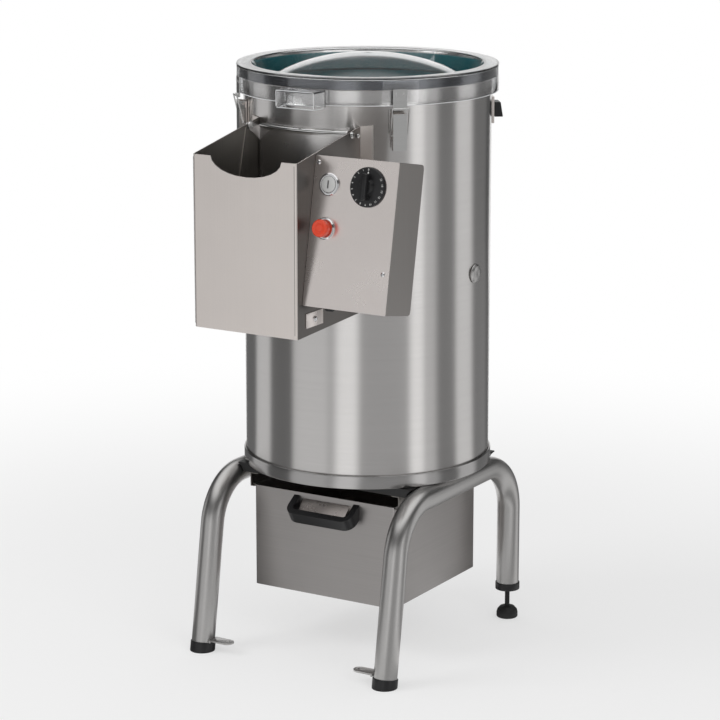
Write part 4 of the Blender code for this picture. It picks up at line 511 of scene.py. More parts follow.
def moulded(look, colour, roughness, spread=0.06, grit=0.08, dust=0.04, **fixed):
    """Moulded or cast stuff with fine grit, and slow clouds of dust."""
    tree, shader = new_look(look, **fixed)
    mark = use_group(tree, grit_tree).outputs
    paler = tuple(min(1, channel + dust * (0.5 + channel)) for channel in colour) + (1,)
    dusty = remap(tree, mark["Clouds"], *DUST_RANGE, 0, 1)
    feed(shader.inputs["Base Color"], mix_colour(tree, dusty, (*colour, 1), paler))
    sheen = math_node(tree, "MULTIPLY_ADD", mark["Clouds"], 2 * spread, roughness - spread)
    feed(shader.inputs["Roughness"], sheen)
    add_bump(tree, shader, mark["Grit"], grit)


ABRASIVE_GRAIN = 0.0006
TEAL = (0.010, 0.155, 0.178, 1)
CARBIDE = (0.06, 0.30, 0.32, 1)
ABRASIVE_SHEEN = (0.75, 0.35)
CLEAR_TINT = (0.985, 0.99, 0.995, 1)
CLEAR_SHEEN = (0.015, 0.075)
CLEAR_WAVE = 0.004

moulded("cast_aluminium", (0.50, 0.50, 0.51), 0.45, grit=0.3, Metallic=1.0)
moulded("motor_enamel", (0.05, 0.065, 0.10), 0.38, grit=0.12)
moulded("black_plastic", (0.012, 0.012, 0.013), 0.33, dust=0.008)
moulded("white_plastic", (0.60, 0.60, 0.59), 0.28, dust=0.02, label="pale cap plastic")
moulded("red_plastic", (0.74, 0.062, 0.022), 0.30, dust=0.01, Coat_Weight=0.3)
moulded("black_rubber", (0.011, 0.011, 0.011), 0.62, dust=0.012, grit=0.2)
moulded("gasket_rubber", (0.020, 0.020, 0.021), 0.55, dust=0.012, grit=0.2)
moulded("print_white", (0.78, 0.78, 0.76), 0.45, dust=0.01, label="white print")
moulded("print_grey", (0.10, 0.10, 0.10), 0.45, dust=0.01, label="grey print")
# A thin dark band round the drum's bead, under the lid's rim: a painted dark reflection. It takes the light
# as dull metal does.
moulded("rim_band_painted_reflection", (0.150, 0.156, 0.172), 0.24, dust=0.01, grit=0.05, Metallic=1.0)
# Pale strips on the lid's edges: painted highlights of the light that the clear sheet's cut edges catch.
moulded("cut_edge", (0.86, 0.87, 0.88), 0.25, dust=0.01, label="cut edge of clear sheet")

tree, shader = new_look("teal_abrasive")
mark = use_group(tree, grit_tree).outputs
feed(shader.inputs["Base Color"], mix_colour(tree, mark["Specks"], TEAL, CARBIDE))
feed(shader.inputs["Roughness"], remap(tree, mark["Specks"], 0, 1, *ABRASIVE_SHEEN))
add_bump(tree, shader, mark["Specks"], 0.9, ABRASIVE_GRAIN)

tree, shader = new_look(
    "clear_plastic", "clear lid plastic", Base_Color=CLEAR_TINT, Transmission_Weight=1.0, IOR=1.49
)
mark = use_group(tree, grit_tree).outputs
feed(shader.inputs["Roughness"], remap(tree, mark["Clouds"], 0.35, 0.75, *CLEAR_SHEEN))
add_bump(tree, shader, mark["Clouds"], 0.05, CLEAR_WAVE)
print(len(looks), "finishes:", ", ".join(sorted(looks)))

# %% [markdown]
# ## Makers of pieces
#
# Most of the machine is turned, folded or bent, so a few makers cover it: one turns a profile about
# an upright axis, one sweeps a round section along a path, one cuts an outline from plate, and one
# makes a block. They round the edges, because a real edge always catches a line of light.

# %% Turning meshes into pieces
SMOOTH_UNDER = radians(36)
SHARP_OVER = radians(60)
BEVEL_OVER = radians(25)
FLAT_UNDER = radians(1)
STRAIGHT_UNDER = 0.05
CORNER_SHARE = 0.45
MERGE_UNDER = 0.000005
TINY = 1e-6


def finish_mesh(name, bm, look, body="frame", slot=None, replaces=(), place=None):
    """Makes an object of a bmesh, hangs it on the body it rides on and hides the solids it stands for.

    One without a look is a cutter, which cut() removes again.
    """
    bmesh.ops.recalc_face_normals(bm, faces=bm.faces)
    mesh = bpy.data.meshes.new(name)
    bm.to_mesh(mesh)
    bm.free()
    if place is not None:
        mesh.transform(place)
    piece = bpy.data.objects.new(name, mesh)
    show(piece)
    mesh.shade_smooth()
    mesh.set_sharp_from_angle(angle=SMOOTH_UNDER)
    if look is not None:
        mesh.materials.append(looks[look])
        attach(piece, body)
        if replaces:
            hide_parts(*replaces)
    return piece


def round_corners(points, radius, steps=3, closed=True):
    """Replaces each corner of a path or outline by a true arc of that radius, where there is room."""
    rounded = []
    count = len(points)
    for index, point in enumerate(points):
        here = Vector(point)
        if not closed and index in (0, count - 1):
            rounded.append(here)
            continue
        before = Vector(points[index - 1]) - here
        after = Vector(points[(index + 1) % count]) - here
        turn = pi - before.angle(after)
        room = CORNER_SHARE * min(before.length, after.length)
        cut_back = min(radius * tan(turn / 2), room)
        if turn < STRAIGHT_UNDER or cut_back < TINY:
            rounded.append(here)
            continue
        bend = cut_back / tan(turn / 2)
        halfway = (before.normalized() + after.normalized()).normalized()
        centre = here + halfway * (bend / cos(turn / 2))
        start = here + before.normalized() * cut_back - centre
        end = here + after.normalized() * cut_back - centre
        for step in range(steps + 1):
            rounded.append(centre + start.normalized().slerp(end.normalized(), step / steps) * bend)
    return rounded


def bridge(bm, rings, closed):
    """Joins each ring of corners to the next by faces. A ring on the axis is a single corner."""
    for first, second in zip(rings, rings[1:] + rings[:1] if closed else rings[1:]):
        sides = max(len(first), len(second))
        for side in range(sides):
            after = (side + 1) % sides
            loop = [first[side % len(first)], first[after % len(first)]]
            loop += [second[after % len(second)], second[side % len(second)]]
            corners = list(dict.fromkeys(loop))
            if len(corners) > 2:
                bm.faces.new(corners)


def turned(name, profile, look, body="frame", edge=0.0006, sides=128, **settings):
    """Turns an outline of (radius, height) points about Z."""
    bm = bmesh.new()
    outline = round_corners([Vector((radius, height, 0)) for radius, height in profile], edge)
    rings = []
    for radius, height, _ in outline:
        spots = [(radius * cos(turn), radius * sin(turn), height) for turn in round_turn(sides)]
        if radius < TINY:
            spots = [(0, 0, height)]
        rings.append([bm.verts.new(spot) for spot in spots])
    bridge(bm, rings, closed=all(point.x > TINY for point in outline))
    return finish_mesh(name, bm, look, body, **settings)


def swept(name, path, radius, look, body="frame", sides=24, **settings):
    """A round rod or tube skin along a path, with flat ends."""
    bm = bmesh.new()
    points = [Vector(point) for point in path]
    rings = []
    across = None
    for before, point, after in zip(points[:1] + points, points, points[1:] + points[-1:]):
        along = (after - before).normalized()
        if across is None:
            across = along.orthogonal().normalized()
        across = (across - along * across.dot(along)).normalized()
        upward = along.cross(across)
        spokes = [across * cos(turn) + upward * sin(turn) for turn in round_turn(sides)]
        rings.append([bm.verts.new(point + radius * spoke) for spoke in spokes])
    bridge(bm, rings, closed=False)
    bm.faces.new(rings[0][::-1])
    bm.faces.new(rings[-1])
    return finish_mesh(name, bm, look, body, **settings)


def bevel_edges(bm, width, segments=2):
    sharp = [edge for edge in bm.edges if len(edge.link_faces) == 2 and edge.calc_face_angle() > BEVEL_OVER]
    bmesh.ops.bevel(
        bm, geom=sharp, offset=width, segments=segments, profile=0.5, affect="EDGES", clamp_overlap=True
    )


def plate(name, outline, low, high, look, body="frame", edge=0.0004, **settings):
    """Cuts an outline of (x, y) points from plate that reaches from low to high in Z."""
    bm = bmesh.new()
    bottom = [bm.verts.new((point[0], point[1], low)) for point in outline]
    top = [bm.verts.new((point[0], point[1], high)) for point in outline]
    bm.faces.new(bottom[::-1])
    bm.faces.new(top)
    bridge(bm, (bottom, top), closed=False)
    bmesh.ops.recalc_face_normals(bm, faces=bm.faces)
    if edge:
        bevel_edges(bm, edge)
    return finish_mesh(name, bm, look, body, **settings)


def block(name, low, high, look, body="frame", edge=0.0005, **settings):
    """A block between two opposite corners."""
    outline = [(low[0], low[1]), (high[0], low[1]), (high[0], high[1]), (low[0], high[1])]
    return plate(name, outline, low[2], high[2], look, body, edge, **settings)


def arc(centre, radius, start, end, steps):
    """Points along part of a circle."""
    turns = [start + (end - start) * step / steps for step in range(steps + 1)]
    return [(centre[0] + radius * cos(t), centre[1] + radius * sin(t)) for t in turns]


def evaluated_mesh(holder):
    """A mesh of an object as it stands with its modifiers."""
    bpy.context.view_layer.update()
    return bpy.data.meshes.new_from_object(holder.evaluated_get(bpy.context.evaluated_depsgraph_get()))


def cut(piece, *cutters):
    """Takes the cutters' shapes out of a piece and removes them."""
    for cutter in cutters:
        modifier = piece.modifiers.new("cut", "BOOLEAN")
        modifier.operation = "DIFFERENCE"
        modifier.solver = "EXACT"
        modifier.object = cutter
    piece.data = evaluated_mesh(piece)
    piece.modifiers.clear()
    piece.data.shade_smooth()
    piece.data.set_sharp_from_angle(angle=SMOOTH_UNDER)
    for cutter in cutters:
        bpy.data.objects.remove(cutter)


def relook(node, look):
    """Gives a CAD solid that stays in view its worked finish."""
    solid = frame["nodes"][node]
    for holder in solid.material_slots:
        holder.material = looks[look]


def refined(node, look, edge, body="frame", others=(), segments=2):
    """A finer copy of a solid: flat faces joined, and every sharp edge rounded to catch light.

    others holds (rule, look) pairs: faces that a rule picks get that look instead.
    """
    bm = bmesh.new()
    bm.from_mesh(frame["nodes"][node].data)
    bmesh.ops.remove_doubles(bm, verts=bm.verts, dist=MERGE_UNDER)
    bmesh.ops.dissolve_limit(bm, angle_limit=FLAT_UNDER, verts=bm.verts, edges=bm.edges, delimit={"NORMAL"})
    if edge:
        bevel_edges(bm, edge, segments=segments)
    piece = finish_mesh(f"{node}_finished", bm, look, body, replaces=(node,))
    piece.data.set_sharp_from_angle(angle=SHARP_OVER)
    weigh = piece.modifiers.new("flat faces stay flat", "WEIGHTED_NORMAL")
    weigh.keep_sharp = True
    piece.data = evaluated_mesh(piece)
    piece.modifiers.clear()
    for number, (rule, other) in enumerate(others, start=1):
        piece.data.materials.append(looks[other])
        for face in piece.data.polygons:
            if rule(face.center, face.normal):
                face.material_index = number


# %% [markdown]
# ## Stand
#
# Each side is one tube bent twice. The front leg leans forward and ends in a black cap; the rear leg
# is upright and stands on a levelling foot. A flat tab is welded inside each front leg.

# %% Stand tubes, caps, feet and tabs
SIDES = ((-1, "left"), (1, "right"))
FRONT_LEAN = radians(9.1)
LEAN = Vector((0, sin(FRONT_LEAN), cos(FRONT_LEAN)))
BEND_RADIUS = 0.085
CAP_HEIGHT = 0.015
CAP_FLOOR = 0.005
CAP_WALL = 0.0012
TAB_REACH = 0.058
TAB_HALF_WIDTH = 0.011
TAB_THICKNESS = 0.003
TAB_HEIGHT = 0.0185
TAB_ROOT = 0.001
TAB_HOLE = 0.004
WELD_RADIUS = 0.0022
WELD_OVERHANG = 0.0005
STEM_RADIUS = 0.004
STEM_BORE = 0.0043
PAD_TOP = ((STEM_RADIUS, 0.0205), (0.0065, 0.020), (0.0122, 0.0184), (0.0167, 0.0132))
BELOW = 0.05


def hole(start, end, radius, place=None):
    """A cutter for a round hole from start to end."""
    return swept("hole", [start, end], radius, None, place=place)


for side, name in SIDES:
    cap_low, cap_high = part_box(f"front_cap_{name}")
    foot_low, foot_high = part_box(f"rear_foot_{name}")
    rear_cap_low, rear_cap_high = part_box(f"rear_cap_{name}")
    rear = middle_of(f"rear_foot_{name}")
    tube_radius = half_width(f"front_cap_{name}") - CAP_WALL - GAP
    inner, outer = tube_radius + GAP, tube_radius + GAP + CAP_WALL
    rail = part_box(f"stand_tube_{name}")[1].z - tube_radius
    foot_y = (cap_low.y + cap_high.y) / 2 - CAP_HEIGHT / 2 * sin(FRONT_LEAN)
    foot = Vector((rear.x, foot_y, 0))
    path = [
        foot + LEAN * CAP_FLOOR, foot + LEAN * (rail / LEAN.z), Vector((rear.x, rear.y, rail)),
        Vector((rear.x, rear.y, rear_cap_low.z + CAP_FLOOR)),
    ]
    swept(
        f"bent_tube_{name}", round_corners(path, BEND_RADIUS, 20, closed=False), tube_radius, "tube_steel",
        sides=48, replaces=(f"stand_tube_{name}",),
    )
    cap = turned(
        f"front_end_cap_{name}",
        [(inner, CAP_HEIGHT), (outer, CAP_HEIGHT), (outer, -CAP_FLOOR), (0, -CAP_FLOOR),
         (0, CAP_FLOOR - GAP), (inner, CAP_FLOOR - GAP)],
        "black_plastic", edge=0.0008, sides=64, replaces=(f"front_cap_{name}",),
        place=Matrix.Translation(foot) @ Matrix.Rotation(-FRONT_LEAN, 4, "X"),
    )
    under_low, under_high = foot - Vector((BELOW, BELOW, BELOW)), foot + Vector((BELOW, BELOW, 0))
    cut(cap, block("below_floor", under_low, under_high, None, edge=0))

    tab_centre = foot + LEAN * ((foot_low.z + TAB_HEIGHT) / LEAN.z)
    inward = Matrix.Translation(tab_centre) @ Matrix.Rotation(0 if side < 0 else pi, 4, "Z")
    root, hole_x = tube_radius - TAB_ROOT, TAB_REACH - TAB_HALF_WIDTH
    tip = arc((hole_x, 0), TAB_HALF_WIDTH, -pi / 2, pi / 2, 16)
    tab = plate(
        f"floor_tab_{name}", [(root, -TAB_HALF_WIDTH), *tip, (root, TAB_HALF_WIDTH)], 0, TAB_THICKNESS,
        "tube_steel", place=inward,
    )
    cut(tab, hole((hole_x, 0, -0.02), (hole_x, 0, 0.02), TAB_HOLE, inward))
    weld_x, weld_end = tube_radius + WELD_OVERHANG, TAB_HALF_WIDTH + WELD_OVERHANG
    weld = [(weld_x, -weld_end, 0), (weld_x, weld_end, 0)]
    swept(f"tab_weld_{name}", weld, WELD_RADIUS, "tube_steel", sides=10, place=inward)

    upright = Matrix.Translation((rear.x, rear.y, 0))
    top, bottom = rear_cap_high.z, rear_cap_low.z
    turned(
        f"rear_end_cap_{name}",
        [(inner, top), (outer, top), (outer, bottom), (STEM_BORE, bottom),
         (STEM_BORE, bottom + CAP_FLOOR), (inner, bottom + CAP_FLOOR)],
        "black_plastic", edge=0.0012, sides=64, place=upright, replaces=(f"rear_cap_{name}",),
    )
    pad_radius = half_width(f"rear_foot_{name}")
    turned(
        f"levelling_foot_{name}",
        [(0, foot_high.z), (STEM_RADIUS, foot_high.z), *PAD_TOP, (pad_radius, 0.0084), (pad_radius, 0.0016),
         (0.0166, 0), (0, 0)],
        "black_rubber", f"foot_{name}", edge=0.001, sides=64, place=upright, replaces=(f"rear_foot_{name}",),
    )
for node in ("cross_bar_front", "cross_bar_rear"):
    refined(node, "shaded_bar", 0.0015)
for node in ("runner_left", "runner_right"):
    refined(node, "inner_sheet", 0.0003)
print("stand pieces done")

# %% [markdown]
# ## Drum and pan
#
# The casing is one rolled sheet with a rolled bead round its rim. It stands in a shallow pan whose
# rim is polished. The casing keeps the same openings as the solid, because the chute's inside and
# the outlet door are seen through them when the door swings out.

# %% Casing, liner, pan and gasket
BEAD_HEIGHT = 0.014
LINER_WALL = 0.0052
PAN_WALL = 0.0032
GASKET_WALL = 0.0048
OUTLET_HALF_WIDTH = 0.070
OUTLET_FAR = 0.25
OUTLET_NEAR = 0.10
OUTLET_BOTTOM = 0.008
OUTLET_TOP = 0.158
INLET_HOLE = 0.0102
DRAIN_HOLE = 0.0253
TRIM_HEIGHT = 0.0135
TRIM_INNER = 0.0002
TRIM_OUTER = 0.0010


def ring(name, inner, outer, low, high, look, body="frame", **settings):
    """A plain ring round the drum's axis."""
    profile = [(inner, high), (outer, high), (outer, low), (inner, low)]
    return turned(name, profile, look, body, place=ON_AXIS, **settings)


def ring_of(name, node, wall, look, **settings):
    """A ring in the place of a round solid."""
    (low, high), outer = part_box(node), half_width(node)
    return ring(name, outer - wall, outer, low.z, high.z, look, replaces=(node,), **settings)


drum_bore, bead_bottom = DRUM_RADIUS - DRUM_WALL, DRUM_HIGH.z - BEAD_HEIGHT
casing = turned(
    "drum_casing",
    [(drum_bore, DRUM_HIGH.z), (BEAD_RADIUS, DRUM_HIGH.z), (BEAD_RADIUS, bead_bottom),
     (DRUM_RADIUS, bead_bottom), (DRUM_RADIUS, DRUM_LOW.z), (drum_bore, DRUM_LOW.z)],
    "drum_steel", edge=0.0015, sides=160, place=ON_AXIS, replaces=("outer_casing",),
)
liner = ring_of("abrasive_lining", "chamber_liner", LINER_WALL, "teal_abrasive")
door_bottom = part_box("outlet_door")[0].z
outlet_low = (AXIS.x - OUTLET_HALF_WIDTH, AXIS.y - OUTLET_FAR, door_bottom + OUTLET_BOTTOM)
outlet_high = (AXIS.x + OUTLET_HALF_WIDTH, AXIS.y - OUTLET_NEAR, door_bottom + OUTLET_TOP)
inlet_z = middle_of("water_inlet").z
inlet_start, inlet_end = (AXIS.x, AXIS.y + 0.15, inlet_z), (AXIS.x, AXIS.y + 0.25, inlet_z)
for wall in (casing, liner):
    outlet = block("outlet", outlet_low, outlet_high, None, edge=0)
    cut(wall, outlet, hole(inlet_start, inlet_end, INLET_HOLE))

pan_low, pan_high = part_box("base_pan")
pan_radius = half_width("base_pan")
pan_bore = pan_radius - PAN_WALL
pan = turned(
    "polished_pan",
    [(0, pan_low.z + SHEET), (pan_bore, pan_low.z + SHEET), (pan_bore, pan_high.z),
     (pan_radius, pan_high.z), (pan_radius, pan_low.z), (0, pan_low.z)],
    "pan_steel", edge=0.0014, sides=160, place=ON_AXIS, replaces=("base_pan",),
)
drain = middle_of("drain_pipe")
cut(pan, hole((drain.x, drain.y, 0.2), (drain.x, drain.y, 0.4), DRAIN_HOLE))

ring_of("rim_gasket", "lid_gasket", GASKET_WALL, "gasket_rubber", edge=0.0003)
# A thin dark band round the bead, seen through the lid's skirt: painted dark reflection.
ring(
    "rim_dark_band", BEAD_RADIUS + TRIM_INNER, BEAD_RADIUS + TRIM_OUTER, DRUM_HIGH.z - TRIM_HEIGHT, DRUM_HIGH.z,
    "rim_band_painted_reflection", edge=0.0003, sides=160,
)
PAN_BOLT_RING = 0.188
PAN_BOLT_TURNS = (-48, 48, 132, -132)
PAN_BOLT = (
    (0, 0), (0.0078, 0), (0.0078, -0.0014), (0.0054, -0.0016), (0.0054, -0.0052), (0.0036, -0.0080),
    (0, -0.0092),
)
for number, degrees in enumerate(PAN_BOLT_TURNS, start=1):
    turn = radians(degrees)
    spot = AXIS + Vector((PAN_BOLT_RING * sin(turn), -PAN_BOLT_RING * cos(turn), pan_low.z))
    turned(
        f"pan_bolt_{number}", PAN_BOLT, "polished_steel", edge=0.0004, sides=32,
        place=Matrix.Translation(spot),
    )
print("drum pieces done")

# %% [markdown]
# ## Lid
#
# The lid is blown from clear plastic: a shallow dome in a sunk well, a flat rim, and a skirt that
# hangs outside the drum. Its handle is a hollow block at the front. The lid refracts what is behind
# it, so its wall has a true thickness and rounded edges. Thin pale strips along the sheet's cut edges
# are painted highlights, for the bright lines that light makes there.

# %% Clear lid, its handle and its hinge
LID_WALL = 0.003
LID_SKIRT = 0.042
WELL_DEPTH = 0.030
DOME_RISE = 0.044
DOME_STEPS = 20
lid_low, lid_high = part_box("lid")
LID_RADIUS = AXIS.x - lid_low.x
LID_BORE = LID_RADIUS - LID_WALL
WELL_RADIUS = LID_RADIUS - 0.039
LEDGE = LID_RADIUS - 0.024
lid_top = lid_high.z - DOME_RISE + WELL_DEPTH
well_base = lid_top - WELL_DEPTH
seat = lid_top - LID_WALL
skirt_bottom = lid_top - LID_SKIRT


def dome(radius, base, rise):
    """A dome's outline from its top to its edge."""
    sphere = (radius**2 + rise**2) / (2 * rise)
    edge_turn = asin(radius / sphere)
    turns = [edge_turn * step / DOME_STEPS for step in range(DOME_STEPS + 1)]
    return [(sphere * sin(t), base + rise - sphere * (1 - cos(t))) for t in turns]


turned(
    "clear_lid",
    [
        *dome(WELL_RADIUS, well_base, DOME_RISE),
        (LEDGE, lid_top), (LID_RADIUS, lid_top), (LID_RADIUS, skirt_bottom),
        (LID_BORE, skirt_bottom), (LID_BORE, seat),
        (LEDGE + LID_WALL, seat), (WELL_RADIUS + LID_WALL, well_base - LID_WALL),
        *reversed(dome(WELL_RADIUS, well_base - LID_WALL, DOME_RISE)),
    ],
    "clear_plastic", "lid", edge=0.0014, sides=160, place=ON_AXIS, replaces=("lid",),
)

HANDLE_SHIFT = 0.012
HANDLE_HALF_WIDTH = 0.036
HANDLE_ROUND = 0.003
HANDLE_DROP = 0.0192
HANDLE_HEIGHT = 0.027
HANDLE_ROOT = 0.02
HIGHLIGHT_STRIP = 0.0010
EDGE_DROP = 0.0007
HIGHLIGHT_LIFT = 0.0004
HIGHLIGHT_INSET = 0.002
handle_top = lid_top - HANDLE_DROP
handle_bottom = handle_top - HANDLE_HEIGHT
front = lid_low.y - AXIS.y
left, right = HANDLE_SHIFT - HANDLE_HALF_WIDTH, HANDLE_SHIFT + HANDLE_HALF_WIDTH
root = -LID_RADIUS + HANDLE_ROOT
outline = [(left, front, 0), (right, front, 0), (right, root, 0), (left, root, 0)]
handle = plate(
    "clear_handle", round_corners(outline, HANDLE_ROUND, 4), handle_bottom, handle_top, "clear_plastic",
    "lid", edge=0.0008, place=ON_AXIS,
)
hollow = block(
    "hollow", (left + LID_WALL, front + LID_WALL, handle_bottom - 0.01),
    (right - LID_WALL, -0.15, handle_top - LID_WALL), None, place=ON_AXIS,
)
skirt_core = swept(
    "core", [(0, 0, handle_bottom - 0.02), (0, 0, handle_top + 0.02)], LID_RADIUS + 0.0001, None,
    sides=160, place=ON_AXIS,
)
cut(handle, hollow, skirt_core)


def bright_edge(name, inset, start, corner, bend, radius):
    """A thin pale strip on the handle, a painted highlight: from start (y, z) to corner on its left, across,
    and back.
    """
    x, far_x = left + inset, right - inset
    path = [(x, *start), (x, *corner), (far_x, *corner), (far_x, *start)]
    path = round_corners(path, bend, 4, closed=False)
    swept(name, path, radius, "cut_edge", "lid", sides=10, place=ON_AXIS)


# Pale strips as painted highlights: under the skirt's cut edge, and round the handle.
ring(
    "skirt_edge_highlight", LID_BORE, LID_RADIUS, skirt_bottom - HIGHLIGHT_STRIP, skirt_bottom - 0.0001, "cut_edge", "lid",
    edge=0.0003, sides=160,
)
start = (-LID_RADIUS - HIGHLIGHT_STRIP, handle_bottom - EDGE_DROP)
corner = (front + HIGHLIGHT_STRIP, handle_bottom - EDGE_DROP)
bright_edge("handle_edge_highlight", HIGHLIGHT_STRIP, start, corner, HANDLE_ROUND, 0.0006)
start = (front - HIGHLIGHT_LIFT, handle_bottom + HIGHLIGHT_STRIP)
corner = (front - HIGHLIGHT_LIFT, handle_top - HIGHLIGHT_STRIP)
bright_edge("handle_front_highlight", HIGHLIGHT_INSET, start, corner, HIGHLIGHT_INSET, 0.0005)
for node, body in (("lid_hinge_leaf", "lid"), ("lid_hinge_base", "frame")):
    refined(node, "brushed_steel", 0.0003, body)
print("lid pieces done, lid radius", round(LID_RADIUS, 4))

# %% [markdown]
# ## Latches and the lid switch
#
# Two toggle latches hold the lid down. The catch is riveted to the lid's skirt, the base to the drum.
# The wire bail hooks the catch, and the lever pulls it tight. The rivets aren't in the solids.

# %% Toggle latches with rivets, and the lid switch
RIVET_RADIUS = 0.0024
RIVET_HEIGHT = 0.0009
RIVET_LIFT = 0.0018
CATCH_RIVET_ASIDE = 0.006
CATCH_RIVET_DROP = 0.008
BASE_RIVET_RISE = 0.006
LATCH_TURN = radians(44.6)
RIVET = (
    (0, RIVET_HEIGHT), (RIVET_RADIUS * 0.6, RIVET_HEIGHT * 0.85), (RIVET_RADIUS, RIVET_HEIGHT * 0.25),
    (RIVET_RADIUS, 0), (0, 0),
)


def rivet(name, radius, height, turn, aside, body):
    """A low domed head on a latch: turn is measured from the front towards the right."""
    place = Matrix.Rotation(turn, 4, "Z") @ Matrix.Translation((aside, -radius - RIVET_LIFT, height))
    turned(name, RIVET, "polished_steel", body, 0.0001, 20, place=ON_AXIS @ place @ FACING_USER)


for side, name in SIDES:
    refined(f"latch_catch_{name}", "polished_steel", 0.0003, "lid")
    refined(f"latch_base_{name}", "brushed_steel", 0.0003)
    refined(f"latch_lever_{name}", "polished_steel", 0.0003, f"lever_{name}")
    refined(f"latch_bail_{name}", "polished_steel", 0, f"bail_{name}")
    turn = side * LATCH_TURN
    catch_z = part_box(f"latch_catch_{name}")[1].z - CATCH_RIVET_DROP
    base_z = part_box(f"latch_base_{name}")[0].z + BASE_RIVET_RISE
    rivet(f"catch_rivet_{name}_in", LID_RADIUS, catch_z, turn, -CATCH_RIVET_ASIDE, "lid")
    rivet(f"catch_rivet_{name}_out", LID_RADIUS, catch_z, turn, CATCH_RIVET_ASIDE, "lid")
    rivet(f"base_rivet_{name}", DRUM_RADIUS, base_z, turn, 0, "frame")

refined("sensor_bracket", "brushed_steel", 0.0005)
refined("lid_sensor", "black_plastic", 0.0012)
print("latches and lid switch done")

# %% [markdown]
# ## Drum fittings
#
# The steel plug closes a service hole, the barbed inlet takes the water hose, and the conduit brings
# the wires from the control box into the drum.

# %% Plug, water inlet and conduit
FACING_RIGHT = Matrix.Rotation(pi / 2, 4, "Y")
PLUG_STEM = 0.0137
PLUG_DEPTH = 0.0055
plug_low, plug_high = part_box("side_plug")
plug_radius = (plug_high.z - plug_low.z) / 2
plug_seat = DRUM_RADIUS + GAP
crown = plug_high.x - AXIS.x - plug_seat
turned(
    "blanking_plug",
    [(0, crown), (0.0075, crown * 0.96), (0.0125, crown * 0.75), (plug_radius, crown * 0.25),
     (plug_radius, 0), (PLUG_STEM, 0), (PLUG_STEM, -PLUG_DEPTH), (0, -PLUG_DEPTH)],
    "tube_steel", edge=0.0008, sides=64, slot="polished_steel", replaces=("side_plug",),
    place=Matrix.Translation((AXIS.x + plug_seat, AXIS.y, middle_of("side_plug").z)) @ FACING_RIGHT,
)
refined("water_inlet", "polished_steel", 0.0002)
refined("wiring_conduit", "black_plastic", 0.0003)
print("drum fittings done, plug radius", round(plug_radius, 4))

# %% [markdown]
# ## Chute and outlet door
#
# The chute is folded sheet that hugs the drum. Its front wall is brushed upright, and the walls inside
# get a darker sheet colour: painted shade, as they mostly reflect each other. A polished door hangs
# inside on two bolts.

# %% Chute, door, bolts and the clip on its side
CHUTE_HALF_WIDTH = 0.094
CHUTE_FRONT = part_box("discharge_chute")[0].y - AXIS.y
CHUTE_BACK = 0.30


def inside_chute(centre, normal):
    """Walls that face each other, and the front wall's inner face, which get a darker colour as painted
    shade.
    """
    sideways = (centre.x - AXIS.x) * normal.x < -0.0005
    facing_drum = normal.y > 0.5 and centre.y < AXIS.y - CHUTE_BACK
    return sideways or facing_drum


def right_of_chute(centre, normal):
    """The chute's right side wall, outside, which gets a painted dark reflection."""
    return abs(centre.x - AXIS.x - CHUTE_HALF_WIDTH) < 0.001 and normal.x > 0.5


refined(
    "discharge_chute", "brushed_steel", 0.0005,
    others=((inside_chute, "inner_sheet"), (right_of_chute, "side_sheet")),
)
refined("outlet_door", "door_steel", 0.0003, "door")
for node in ("door_bolt_left", "door_bolt_right"):
    refined(node, "polished_steel", 0.0004)

ROLL_REACH = 0.2058
ROLL_HEIGHT = 0.8700
ROLL_RADIUS = 0.0042
ROLL_SWEEP = radians(23)
to_front = -pi / 2
roll = arc((0, 0), ROLL_REACH, to_front - ROLL_SWEEP, to_front + ROLL_SWEEP, 40)
swept(
    "door_roll", [(x, y, ROLL_HEIGHT) for x, y in roll], ROLL_RADIUS, "polished_steel", "door", sides=16,
    place=ON_AXIS,
)

BOLT_HEIGHTS = (0.0034, 0.0031, 0.0016)
CHUTE_BOLT_RADII = (0.0020, 0.0036, 0.0040)
CHUTE_BOLT = (CHUTE_HALF_WIDTH + 0.0002, -0.186, 0.8665)
CLIP_LOW = (CHUTE_HALF_WIDTH + 0.0002, -0.338, 0.5915)
CLIP_HIGH = (CHUTE_HALF_WIDTH + 0.0014, -0.290, 0.6145)
CLIP_BOLT_RADII = (0.0024, 0.0042, 0.0046)
CLIP_BOLT = (CHUTE_HALF_WIDTH + 0.0015, -0.314, 0.603)


def domed_head(name, heights, radii, look, place):
    """A domed bolt or screw head: three heights from its top down, over radii from its middle out."""
    profile = [(0, heights[0]), (radii[0], heights[1]), (radii[1], heights[2]), (radii[2], 0), (0, 0)]
    return turned(name, profile, look, edge=0.0002, sides=32, place=place)


for side, name in SIDES:
    outward = Matrix.Translation((side * CHUTE_BOLT[0], *CHUTE_BOLT[1:]))
    outward = ON_AXIS @ outward @ Matrix.Rotation(side * pi / 2, 4, "Y")
    domed_head(f"chute_bolt_{name}", BOLT_HEIGHTS, CHUTE_BOLT_RADII, "polished_steel", outward)
block("side_clip", CLIP_LOW, CLIP_HIGH, "panel_sheet", edge=0.0004, place=ON_AXIS)
outward = ON_AXIS @ Matrix.Translation(CLIP_BOLT) @ FACING_RIGHT
domed_head("side_clip_bolt", BOLT_HEIGHTS, CLIP_BOLT_RADII, "chrome", outward)

# Thin dark strips on the front wall along its folds: painted shade in the creases.
FOLD_BOTTOM = 0.584
FOLD_TOP = 0.843
FOLD_HALF_WIDTH = 0.0003
fold_front, fold_back = CHUTE_FRONT - 0.00025, CHUTE_FRONT - 0.00005
for name, fold_x in (("left", -0.0925), ("right", 0.0893)):
    block(
        f"fold_painted_shade_{name}", (fold_x - FOLD_HALF_WIDTH, fold_front, FOLD_BOTTOM),
        (fold_x + FOLD_HALF_WIDTH, fold_back, FOLD_TOP), "inner_sheet", edge=0, place=ON_AXIS,
    )
print("chute pieces done")

